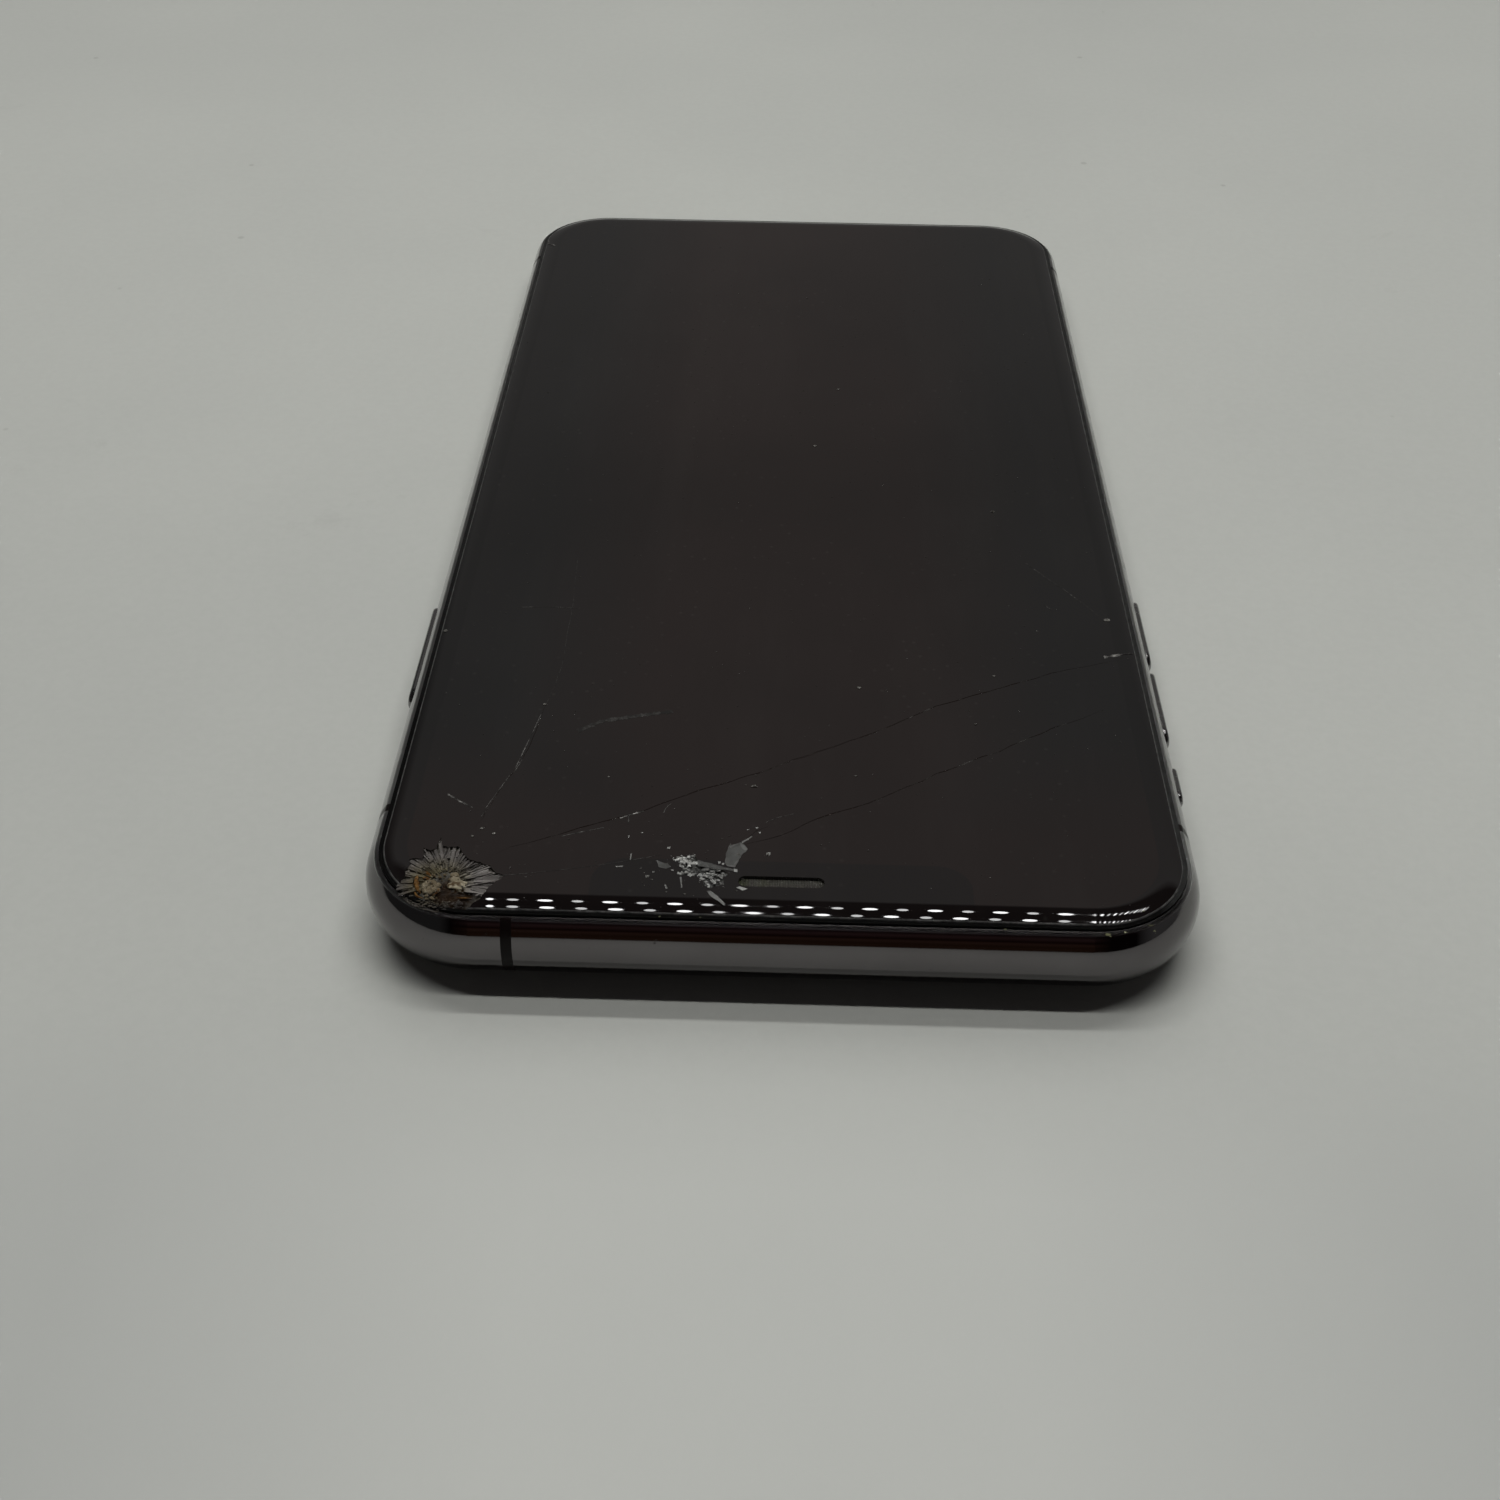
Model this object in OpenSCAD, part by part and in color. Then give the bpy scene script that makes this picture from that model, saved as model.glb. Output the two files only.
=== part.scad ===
// Large notched touch-screen phone, lying face up, with its screen shattered at one corner.
// Origin: under the centre of the body, on the surface that the camera bump rests on.
// +Z is the way the screen faces, +Y the earpiece end, +X the side with the side button.

/* [Body] */
// Width over the steel band
body_w = 77.4; // [62:0.1:95]
// Length over the steel band
body_l = 157.5; // [130:0.5:190]
// Thickness from the back glass to the cover glass
body_t = 7.7; // [7.5:0.05:9.5]
// Radius of the four corners, seen from the front
corner_r = 11; // [9:0.1:14]

/* [Steel band] */
// How far the band's front and rear edges lie inside its widest line
band_roll = 1.25; // [0.9:0.05:1.4]
// Rounding of the band's two rims
rim_round = 0.6; // [0.3:0.05:0.7]
// Thickness of the band's wall at its widest line
band_wall = 2.4; // [2:0.1:3]
// Height of the cover glass above the band's front edge
front_reveal = 0.75; // [0.6:0.05:1]
// Height of the back glass below the band's rear edge
rear_reveal = 0.45; // [0.3:0.05:0.6]
// Distance from the widest line to the glass openings
opening_in = 1.5; // [1.45:0.05:1.8]
// Width of the plastic breaks across the band
break_w = 1.0; // [0.8:0.1:2]
// Place of the break in the top edge, and its mirror in the bottom edge
break_x = 24.3; // [18:0.1:26]

/* [Cover glass] */
// Thickness of the cover glass
cover_t = 0.8; // [0.6:0.05:1]
// Distance from the widest line to the edge of the cover glass
cover_in = 1.95; // [1.85:0.05:2.4]
// Width of the rolled edge of both glasses
roll_w = 2.05; // [1:0.05:2.5]
// Drop of the rolled edge of both glasses
roll_h = 0.4; // [0.2:0.05:0.5]
// Length of the earpiece slot
slot_l = 7.8; // [5:0.1:12]
// Width of the earpiece slot
slot_w = 1.4; // [1:0.1:2]
// Distance from the top edge to the middle of the earpiece slot
slot_top = 6.15; // [5.5:0.05:7]

/* [Display] */
// Thickness of the display panel
panel_t = 0.9; // [0.6:0.05:1.2]
// Width of the notch in the display panel
notch_w = 34.4; // [30:0.1:40]
// Distance from the top edge to the lower edge of the notch
notch_top = 8.85; // [8.4:0.05:10]
// Radius of the two lower corners of the notch
notch_r = 3.2; // [1:0.1:4]

/* [Back] */
// Thickness of the back glass
back_t = 0.7; // [0.5:0.05:0.9]
// How far the camera bump stands out of the back glass
bump_h = 1.3; // [1:0.1:1.8]
// Width of the camera bump
bump_w = 15; // [14:0.1:17]
// Length of the camera bump
bump_l = 31; // [30:0.5:34]
// Distance from the side to the middle of the bump
bump_side = 13.8; // [12.5:0.1:16]
// Distance from the top edge to the middle of the bump
bump_top = 22; // [21.5:0.1:26]
// Distance between the two lenses
lens_pitch = 16.4; // [15.5:0.1:17]
// Diameter of the round glass over each lens
lens_d = 7.4; // [6:0.1:8]

/* [Buttons] */
// Height of the buttons across the band
button_h = 2.7; // [2:0.1:3.2]
// How far the buttons stand out of the band
button_proud = 0.5; // [0.3:0.05:0.8]
// Travel of a pressed button
button_travel = 0.3; // [0.2:0.05:0.35]
// Length of the side button
side_button_l = 17.2; // [10:0.1:21]
// Place of the side button above the middle of the body
side_button_y = 33.9; // [30:0.1:38]
// Length of each volume button
volume_l = 11.7; // [8:0.1:12.5]
// Place of the volume up button above the middle of the body
volume_up_y = 40.2; // [40:0.1:42]
// Place of the volume down button above the middle of the body
volume_down_y = 26.7; // [24:0.1:27]
// Length of the ring switch
ring_l = 5.2; // [4:0.1:7]
// Place of the ring switch above the middle of the body
ring_y = 53.4; // [52:0.1:55]
// Travel of the ring switch across the band
ring_travel = 0.9; // [0.6:0.05:1]
// Running clearance round the buttons and the tray
run_gap = 0.08; // [0.05:0.01:0.12]

/* [Card tray] */
// Length of the tray's face along the band
tray_l = 15.9; // [15:0.1:19.5]
// Height of the tray's face across the band
tray_h = 2.3; // [2:0.1:2.6]
// Depth of the tray behind its face
tray_depth = 20; // [17:0.5:22]
// Place of the tray above the middle of the body
tray_y = -4; // [-8:0.5:0]

/* [Bottom edge] */
// Width of the charging socket's mouth
port_w = 7.9; // [7:0.1:9]
// Height of the charging socket's mouth
port_h = 2.6; // [2.2:0.1:2.8]
// Depth of the charging socket behind the band
port_depth = 6.2; // [5:0.1:7]
// Diameter of the sound holes
hole_d = 1.4; // [1:0.05:1.6]
// Spacing of the sound holes
hole_pitch = 2.4; // [2:0.05:2.5]
// Sound holes on the loudspeaker's side
holes_right = 7; // [3:1:7]
// Sound holes on the microphone's side
holes_left = 4; // [2:1:5]

/* [Inside] */
// Width of the logic board
board_w = 25.5; // [22:0.5:26]
// Height of the row that holds the vibration motor and the loudspeaker
sound_row_l = 15.5; // [14:0.5:17]
// Height of the lower battery cell
short_cell_l = 31; // [20:0.5:32]
// Side of the square body of each rear camera
camera_body = 11.4; // [10:0.1:12]
// Length of the front sensors across the top edge
sensor_l = 4.3; // [3.5:0.1:4.4]
// Diameter of the charging coil
coil_d = 42; // [36:0.5:50]
// Place of the charging coil below the middle of the body
coil_drop = 8; // [4:0.5:12]
// Depth of the bay beside the band, for the button switches
switch_bay = 1.9; // [1.9:0.05:2.4]

/* [Damage] */
// Distances of the corner impact from the side and from the top edge
corner_hit = [8.7, 5.2];
// Greatest reach of the crushed glass at the corner
corner_hit_r = 4.6; // [3:0.1:6]
// Place of the second impact: from the middle, and from the top edge
slot_hit = [7.6, 7.5];
// Greatest reach of the crushed glass at the second impact
slot_hit_r = 2.4; // [1.5:0.1:3]
// Depth that is crushed out of the cover glass
crush_h = 0.45; // [0.2:0.05:0.5]
// Width of the open cracks at the surface
crack_w = 0.12; // [0.05:0.01:0.3]
// Depth of the open cracks
crack_h = 0.22; // [0.1:0.01:0.4]

/* [Hidden] */
$fn = 48;
// Clearance between pieces that are glued, welded or laid together
fit = 0.05;
// Overshoot of cutting tools
cut = 1;

// Heights, from the surface upwards
back_z = bump_h;
front_z = back_z + body_t;
band_z0 = back_z + rear_reveal;
band_z1 = front_z - front_reveal;
band_half = (band_z1 - band_z0) / 2;
mid_z = (band_z0 + band_z1) / 2;
band_curve_r = (band_half * band_half + band_roll * band_roll) / (2 * band_roll);
// Where the rims' rounding leaves the band's curve, and how far the two circles lap there
rim_angle = asin((band_half - rim_round) / (band_curve_r - rim_round));
rim_lap = 0.005;
glue_t = 0.1;
plate_t = 0.6;
plate_z = back_z + back_t + glue_t;
floor_z = plate_z + plate_t;
cover_z = front_z - cover_t;
panel_z = cover_z - panel_t;
shield_t = 0.2;
shield_z = panel_z - shield_t;
gasket_t = 0.2;
ledge_t = 0.5;
ledge_z1 = shield_z - 0.1 - gasket_t;
ledge_z0 = ledge_z1 - ledge_t;
ledge_in = band_wall + 0.6;
ceiling_z = ledge_z0 - fit;

// Frame under the edge of the cover glass
frame_w = 1;
frame_in = cover_in + frame_w;
boss_in = ledge_in + fit;

// Limits of the bay inside the band
bay_x = body_w / 2 - band_wall;
bay_y = body_l / 2 - band_wall;

// Rows of the bay, from the bottom edge up
row_gap = 0.5;
sound_row_y = -bay_y + sound_row_l;
short_cell_y0 = sound_row_y + row_gap;
short_cell_y1 = short_cell_y0 + short_cell_l;
board_y0 = short_cell_y1 + row_gap;
camera_x = body_w / 2 - bump_side;
camera_y = body_l / 2 - bump_top;
board_y1 = camera_y - lens_pitch / 2 - camera_body / 2 - 0.8;
sensor_y = body_l / 2 - max(frame_in, ledge_in) - 0.2 - sensor_l / 2;
cell_y1 = sensor_y - sensor_l / 2 - row_gap;

// Columns of the bay
cell_x0 = -bay_x + switch_bay;
board_x1 = bay_x - switch_bay;
board_x0 = board_x1 - board_w;
cell_x1 = board_x0 - 0.6;

// Heights in the bay
part_z = floor_z + fit;
tape_t = 0.15;
cell_z1 = ceiling_z - 0.2;
board_t = 0.7;
board_z = floor_z + 0.2;
board_top = board_z + board_t;
spacer_t = 0.9;
upper_t = 0.6;
upper_z = board_top + spacer_t;
upper_top = upper_z + upper_t;
shield_can_t = min(0.9, ceiling_z - upper_top);
bracket_top = board_z + 0.35;

// Boards: the upper board starts past the card reader
tray_body_l = tray_l - 1.3;
tray_body_t = 1.1;
tray_face_in = 1.2;
reader_wall = 0.4;
reader_gap = 0.3;
reader_l = tray_body_l + 2 * (reader_wall + 0.2);
reader_depth = tray_depth + 0.8;
reader_x1 = bay_x - 0.5;
upper_y0 = tray_y + reader_l / 2 + 0.8;
upper_y1 = board_y1 - 3;
upper_in = 1.6;
connector_l = 6.5;
connector_t = 0.25;
connector_y1 = upper_y1 - 2;
can_y1 = connector_y1 - connector_l - 1;
board_hole_in = 1.6;
board_hole_d = 1.6;

// Clear opening in the back plate for the charging coil
coil_hole_r = coil_d / 2 + 1;

// Camera bump
bump_rim = 0.8;
bump_ledge = 0.7;
window_z0 = 0.25;
window_z1 = 0.95;
trim_w = 1;
flash_d = 4.4;

// Buttons: depths measured inwards from the widest line of the band
pocket_in = 1.5;
pin_d = 1.3;
pin_in = band_wall + 0.6;
clip_in = band_wall + 0.03;
clip_t = 0.3;
clip_w = 0.55;
dome_in = pin_in + button_travel + 0.02;
dome_t = 0.15;
dome_d = 2;
flex_in = dome_in + dome_t;
flex_t = 0.5;
crown_r = 3.4;
pin_pitch = function(l) l - button_h - 1.4;

// Ring switch
ring_proud = 0.35;
ring_pocket_in = 1.2;
ring_pad_h = button_h - ring_travel;
stem_l = 1.6;
stem_h = 0.9;

// Bottom screws and sound holes
screw_x = port_w / 2 + 3.2;
screw_head_d = 1.7;
screw_d = 1.1;
screw_head_in = 0.3;
screw_head_t = 0.8;
screw_l = 3.6;
recess_t = 0.45;
boss_w = screw_x + 1.8;
hole_x = screw_x + 3.2;
socket_y0 = -body_l / 2 + boss_in + fit;
socket_wall = 0.35;

// Crushed glass: points of each star, reach of its core, and the seed of its jagged outline
corner_points = 15;
corner_core = 0.9;
corner_seed = 4;
slot_points = 11;
slot_core = 0.45;
slot_seed = 9;

// Cracks in the cover glass, as shares of its half width and half length
crack_long = [[0.67, 0.91], [0.38, 0.84], [0.07, 0.76], [-0.45, 0.60], [-0.90, 0.49]];
crack_short = [[0.13, 0.87], [-0.17, 0.80], [-0.54, 0.68], [-0.84, 0.60]];
crack_down = [[0.75, 0.86], [0.76, 0.84], [0.66, 0.62], [0.63, 0.38], [0.66, 0.08], [0.71, -0.18]];

// ---------- helpers ----------

// Block between two opposite corners
module block(low, high) {
    translate(low) cube(high - low);
}

// Rounded rectangle, drawn inwards from the body's outline
module outline(inset) {
    w = body_w - 2 * inset;
    l = body_l - 2 * inset;
    r = corner_r - inset;
    square([w - 2 * r, l], center = true);
    square([w, l - 2 * r], center = true);
    for (sx = [-1, 1], sy = [-1, 1])
        translate([sx * (w / 2 - r), sy * (l / 2 - r)]) circle(r, $fn = 96);
}

// Plate with the body's outline, set in from its widest line
module plate(inset, z0, z1) {
    translate([0, 0, z0]) linear_extrude(z1 - z0) outline(inset);
}

// Sweeps a section round the body; the section's x is counted from the corner's centre
module around() {
    cx = body_w / 2 - corner_r;
    cy = body_l / 2 - corner_r;
    for (turn = [0, 180]) rotate(turn) {
        translate([cx, cy, 0]) {
            rotate([90, 0, 0]) linear_extrude(2 * cy) children();
            rotate_extrude(angle = 90, $fn = 96) children();
        }
        translate([-cx, cy, 0]) rotate(90) {
            rotate([90, 0, 0]) linear_extrude(2 * cx) children();
            rotate_extrude(angle = 90, $fn = 96) children();
        }
    }
}

// Half section of a glass whose outer face is up, with its rolled edge
module glass_section(inset, t) {
    r = (roll_w * roll_w + roll_h * roll_h) / (2 * roll_h);
    edge = corner_r - inset;
    square([edge, t - roll_h]);
    square([edge - roll_w, t]);
    intersection() {
        translate([edge - roll_w, t - r]) circle(r, $fn = 96);
        translate([edge - roll_w, 0]) square([roll_w, t]);
    }
}

// Glass with a rolled edge, its inner face at height 0 and its outer face up
module rolled_glass(inset, t) {
    around() glass_section(inset, t);
    translate([0, 0, t / 2])
        cube([body_w - 2 * corner_r, body_l - 2 * corner_r, t], center = true);
}

// Pill-shaped bar along X: l along Y, h along Z
module pill_x(l, h, x0, x1) {
    block([x0, -(l - h) / 2, -h / 2], [x1, (l - h) / 2, h / 2]);
    for (s = [-1, 1])
        translate([x0, s * (l - h) / 2, 0]) rotate([0, 90, 0]) cylinder(d = h, h = x1 - x0);
}

// Pill-shaped bar along Y: w along X, h along Z
module pill_y(w, h, y0, y1) {
    block([-(w - h) / 2, y0, -h / 2], [(w - h) / 2, y1, h / 2]);
    for (s = [-1, 1])
        translate([s * (w - h) / 2, y1, 0]) rotate([90, 0, 0]) cylinder(d = h, h = y1 - y0);
}

// Upright pill: w along X, l along Y
module pill_z(w, l, z0, z1) {
    block([-w / 2, -(l - w) / 2, z0], [w / 2, (l - w) / 2, z1]);
    for (s = [-1, 1])
        translate([0, s * (l - w) / 2, z0]) cylinder(d = w, h = z1 - z0, $fn = 64);
}

// Keeps a piece inside the bay, with its rounded corners
module in_bay(gap) {
    intersection() {
        children();
        plate(band_wall + gap, 0, front_z);
    }
}

// Jagged star round an impact; every point has its own reach
module burst(n, reach, seed) {
    random = rands(0.55, 1, n, seed);
    polygon([for (i = [0:n - 1])
        reach * random[i] * [cos(i * 360 / n), sin(i * 360 / n)]]);
}

// Wedges of crushed glass left standing inside a burst
module wedges(n, reach, core, seed) {
    random = rands(0.55, 1, n, seed);
    height = rands(0.45, 0.95, n, seed + 1);
    half = 180 / n - 3;
    for (i = [0:n - 1]) {
        outer = 0.86 * reach * min(random[i], random[(i + 1) % n]);
        middle = (i + 0.5) * 360 / n;
        translate([0, 0, front_z - crush_h]) linear_extrude(crush_h * height[i]) polygon([
            core * [cos(middle - half), sin(middle - half)],
            outer * [cos(middle - half), sin(middle - half)],
            outer * [cos(middle + half), sin(middle + half)],
            core * [cos(middle + half), sin(middle + half)]]);
    }
}

// V-shaped groove along a run of points on the cover glass
module crack(points) {
    half = [body_w / 2 - cover_in, body_l / 2 - cover_in];
    for (i = [0:len(points) - 2]) {
        a = [points[i][0] * half[0], points[i][1] * half[1]];
        b = [points[i + 1][0] * half[0], points[i + 1][1] * half[1]];
        reach = norm(b - a);
        translate([a[0], a[1], front_z]) rotate(atan2(b[1] - a[1], b[0] - a[0]))
            rotate([90, 0, 90]) linear_extrude(reach)
                polygon([[-crack_w / 2, 0.1], [crack_w / 2, 0.1], [0, -crack_h]]);
    }
}

module at_corner_hit() {
    translate([body_w / 2 - corner_hit[0], body_l / 2 - corner_hit[1], 0]) children();
}

module at_slot_hit() {
    translate([slot_hit[0], body_l / 2 - slot_hit[1], 0]) children();
}

module at_slot() {
    translate([0, body_l / 2 - slot_top, 0]) children();
}

module at_bump() {
    translate([camera_x, camera_y, 0]) children();
}

module at_lenses() {
    for (s = [-1, 1]) translate([camera_x, camera_y + s * lens_pitch / 2, 0]) children();
}

// Places a child at height mid_z beside the band; side is -1 or 1, x runs inwards from the band
module at_side(side, y) {
    translate([side * body_w / 2, y, mid_z]) rotate(side > 0 ? 180 : 0) children();
}

// ---------- steel band ----------

// What the rounding of the upper rim takes away, seen from the middle of the band's curve
module rim_cut() {
    reach = band_curve_r - rim_round + rim_lap;
    difference() {
        translate([reach * cos(rim_angle), band_curve_r * sin(rim_angle)]) square(2 * rim_round);
        translate([reach * cos(rim_angle), reach * sin(rim_angle)]) circle(rim_round, $fn = 64);
    }
}

module band_section() {
    difference() {
        intersection() {
            translate([corner_r - band_curve_r, mid_z]) circle(band_curve_r, $fn = 128);
            translate([corner_r - ledge_in, band_z0]) square([ledge_in, band_z1 - band_z0]);
        }
        translate([corner_r - band_curve_r, mid_z]) {
            rim_cut();
            mirror([0, 1]) rim_cut();
        }
        translate([0, ledge_z1]) square([corner_r - opening_in, front_z]);
        translate([0, 0]) square([corner_r - band_wall, ledge_z0]);
        translate([0, 0]) square([corner_r - opening_in, plate_z]);
    }
}

// The whole solid that the band's outer face bounds
module band_envelope() {
    around() intersection() {
        translate([corner_r - band_curve_r, mid_z]) circle(band_curve_r, $fn = 128);
        translate([corner_r - band_wall, band_z0]) square([band_wall, band_z1 - band_z0]);
    }
}

// Blocks that mark the plastic breaks
module break_blocks(grow) {
    w = break_w + 2 * grow;
    side_break_y = body_l / 2 - corner_r - 5;
    translate([break_x, body_l / 2, mid_z]) cube([w, 3 * ledge_in, 3 * band_half], center = true);
    translate([-break_x, -body_l / 2, mid_z]) cube([w, 3 * ledge_in, 3 * band_half], center = true);
    for (sx = [-1, 1], sy = [-1, 1])
        translate([sx * body_w / 2, sy * side_break_y, mid_z])
            cube([3 * ledge_in, w, 3 * band_half], center = true);
}

module button_pocket(side, y, l) {
    at_side(side, y) {
        pill_x(l + 2 * run_gap, button_h + 2 * run_gap, -cut, pocket_in);
        for (s = [-1, 1]) translate([-cut, s * pin_pitch(l) / 2, 0]) rotate([0, 90, 0])
            cylinder(d = pin_d + 2 * run_gap, h = ledge_in + 2 * cut);
    }
}

module ring_pocket() {
    slot_y = stem_l / 2 + run_gap;
    slot_z = (stem_h + ring_travel) / 2 + run_gap;
    at_side(-1, ring_y) {
        pill_x(ring_l + ring_travel + 2 * run_gap, button_h + 2 * run_gap, -cut, ring_pocket_in);
        block([0, -slot_y, -slot_z], [ledge_in + cut, slot_y, slot_z]);
    }
}

module tray_pocket() {
    at_side(1, tray_y) {
        pill_x(tray_l + 2 * run_gap, tray_h + 2 * run_gap, -cut, tray_face_in);
        block([0, -tray_body_l / 2 - run_gap, -tray_body_t / 2 - run_gap],
              [ledge_in + cut, tray_body_l / 2 + run_gap, tray_body_t / 2 + run_gap]);
    }
}

module sound_hole_places() {
    for (i = [0:holes_right - 1]) translate([hole_x + i * hole_pitch, 0, 0]) children();
    for (i = [0:holes_left - 1]) translate([-hole_x - i * hole_pitch, 0, 0]) children();
}

module bottom_cuts() {
    translate([0, -body_l / 2, mid_z]) {
        pill_y(port_w, port_h, -cut, ledge_in + cut);
        sound_hole_places() rotate([-90, 0, 0]) cylinder(d = hole_d, h = 2 * ledge_in);
        for (s = [-1, 1]) translate([s * screw_x, 0, 0]) rotate([-90, 0, 0]) {
            translate([0, 0, -cut]) cylinder(d = screw_head_d + 2 * run_gap,
                                             h = cut + screw_head_in + screw_head_t);
            cylinder(d = screw_d + 2 * run_gap, h = 2 * ledge_in);
        }
    }
}

// Thick part of the band that holds the socket and the two screws
module socket_boss() {
    block([-boss_w, -body_l / 2 + band_wall - 0.2, part_z],
          [boss_w, -body_l / 2 + boss_in, ledge_z1]);
}

module steel_band() {
    color("#4a4a4c") difference() {
        union() {
            around() band_section();
            socket_boss();
        }
        break_blocks(0);
        button_pocket(1, side_button_y, side_button_l);
        button_pocket(-1, volume_up_y, volume_l);
        button_pocket(-1, volume_down_y, volume_l);
        ring_pocket();
        tray_pocket();
        bottom_cuts();
    }
}

module antenna_breaks() {
    color("#201f20") intersection() {
        around() band_section();
        break_blocks(0);
    }
}

// ---------- back ----------

// Pill that lies inside the bump's outline by the given inset
module bump_pill(inset, z0, z1) {
    at_bump() pill_z(bump_w - 2 * inset, bump_l - 2 * inset, z0, z1);
}

module back_plate() {
    color("#8c8f92") difference() {
        plate(band_wall + fit, plate_z, floor_z);
        bump_pill(bump_rim + 0.4, plate_z - cut, floor_z + cut);
        translate([0, -coil_drop, plate_z - cut])
            cylinder(r = coil_hole_r, h = plate_t + 2 * cut, $fn = 96);
    }
}

module back_glass() {
    color("#1d1d1f") difference() {
        translate([0, 0, back_z + back_t]) mirror([0, 0, 1])
            rolled_glass(opening_in + fit, back_t);
        bump_pill(-fit, 0, plate_z);
    }
}

// Bead of adhesive round the rim of the back glass
module back_adhesive() {
    color("#2b2a28") difference() {
        plate(opening_in + 0.3, back_z + back_t, plate_z);
        plate(band_wall + 3, 0, front_z);
        bump_pill(-1, 0, front_z);
    }
}

module charging_coil() {
    hole = coil_d - 24;
    color("#b8733a") translate([0, -coil_drop, back_z + back_t]) difference() {
        cylinder(d = coil_d, h = plate_t, $fn = 96);
        translate([0, 0, -cut]) cylinder(d = hole, h = plate_t + 2 * cut, $fn = 96);
    }
}

// ---------- screen ----------

module cover_glass() {
    color("#26211f") difference() {
        translate([0, 0, cover_z]) rolled_glass(cover_in, cover_t);
        at_slot() rotate(90) pill_z(slot_w, slot_l, cover_z - cut, front_z + cut);
        at_corner_hit() {
            translate([0, 0, front_z - crush_h]) linear_extrude(cut)
                burst(corner_points, corner_hit_r, corner_seed);
            translate([0, 0, cover_z - cut]) cylinder(r = corner_core - 0.2, h = 3 * cut, $fn = 7);
        }
        at_slot_hit() {
            translate([0, 0, front_z - crush_h]) linear_extrude(cut)
                burst(slot_points, slot_hit_r, slot_seed);
            translate([0, 0, cover_z - cut]) cylinder(r = slot_core - 0.15, h = 3 * cut, $fn = 5);
        }
        crack(crack_long);
        crack(crack_short);
        crack(crack_down);
    }
}

module corner_shards() {
    color("#9b958a") intersection() {
        at_corner_hit() wedges(corner_points, corner_hit_r, corner_core, corner_seed);
        plate(cover_in + 0.2, 0, front_z - fit);
    }
}

module slot_shards() {
    color("#c6c6c4") at_slot_hit() wedges(slot_points, slot_hit_r, slot_core, slot_seed);
}

// Cut-out under the notch, open to the top edge
module notch_cut(z0, z1, gap) {
    low = body_l / 2 - notch_top - gap;
    w = notch_w + 2 * gap;
    block([-w / 2, low + notch_r, z0], [w / 2, body_l / 2, z1]);
    block([-w / 2 + notch_r, low, z0], [w / 2 - notch_r, body_l / 2, z1]);
    for (s = [-1, 1]) translate([s * (w / 2 - notch_r), low + notch_r, z0])
        cylinder(r = notch_r, h = z1 - z0);
}

module display_panel() {
    color("#17130f") difference() {
        plate(frame_in + fit, panel_z, cover_z);
        notch_cut(panel_z - cut, cover_z + cut, 0);
    }
}

module display_shield() {
    color("#77787a") difference() {
        plate(frame_in + 0.6, shield_z, panel_z);
        notch_cut(shield_z - cut, panel_z + cut, 0.4);
    }
}

// Plastic frame glued under the rim of the cover glass and round its edge
module display_frame() {
    z0 = ledge_z1 + gasket_t;
    lip_top = front_z - roll_h - 0.15;
    color("#111112") around() {
        translate([corner_r - frame_in, z0]) square([frame_w, cover_z - z0]);
        translate([corner_r - cover_in, z0])
            square([cover_in - opening_in - fit, lip_top - z0]);
    }
}

module display_gasket() {
    color("#0c0c0c") around() translate([corner_r - ledge_in + 0.1, ledge_z1])
        square([ledge_in - opening_in - 0.2, gasket_t]);
}

module earpiece_mesh() {
    pitch = 0.95;
    bars = floor((slot_l - slot_w) / 2 / pitch);
    top = front_z - 0.1;
    color("#4b4a3c") at_slot() rotate(90) difference() {
        pill_z(slot_w - 2 * fit, slot_l - 2 * fit, cover_z, top);
        for (i = [-bars:bars]) translate([0, i * pitch, top])
            cube([slot_w - 0.5, pitch / 2, 0.4], center = true);
    }
}

// Speaker under the slot, with a neck that reaches the mesh
module earpiece_speaker() {
    w = slot_l + 4.2;
    top = sensor_y + sensor_l / 2;
    bottom = sensor_y - sensor_l / 2;
    color("#2a2a2c") {
        block([-w / 2, bottom, bracket_top + fit], [w / 2, top, panel_z - 0.4]);
        at_slot() block([-slot_l / 2, -slot_w / 2, panel_z - 0.4],
                        [slot_l / 2, slot_w / 2, cover_z - fit]);
    }
}

// Small square module with a round lens, looking out through the cover glass
module front_module(x, w, lens) {
    neck = panel_z - 0.4;
    translate([x, sensor_y, 0]) {
        block([-w / 2, -sensor_l / 2, bracket_top + fit], [w / 2, sensor_l / 2, neck]);
        difference() {
            translate([0, 0, neck]) cylinder(d = lens, h = cover_z - fit - neck);
            translate([0, 0, cover_z - 0.35]) cylinder(d = lens - 0.8, h = cut);
        }
    }
}

module front_camera() {
    color("#23262c") front_module(10, 4.6, 3.4);
}

module infrared_camera() {
    color("#2a2228") front_module(-14, 4.6, 3.4);
}

module dot_projector() {
    color("#252525") front_module(15, 4.2, 2.8);
}

module proximity_sensor() {
    color("#303034") front_module(-9, 3.6, 2.2);
}

// Steel strip that carries the speaker and the front cameras
module sensor_bracket() {
    color("#85878a") block([-17, sensor_y - sensor_l / 2 - fit, part_z],
                           [18, sensor_y + sensor_l / 2, bracket_top]);
}

// Ribbon from the display to the connectors at the top of the board
module display_flex() {
    x0 = cell_x1 - 12;
    x1 = board_x0 + 9;
    y0 = board_y1 - 7;
    color("#7a5a2b") {
        block([x0, y0, shield_z - 0.15], [x1, y0 + 4, shield_z]);
        block([x1 - 3, y0, upper_top + connector_t], [x1, y0 + 4, shield_z - 0.15]);
    }
}

// ---------- rear cameras ----------

module camera_ring() {
    color("#55565a") difference() {
        bump_pill(0, 0.15, plate_z);
        bump_pill(bump_rim, 0, window_z1);
        bump_pill(bump_rim + bump_ledge, 0, plate_z + cut);
    }
}

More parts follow.
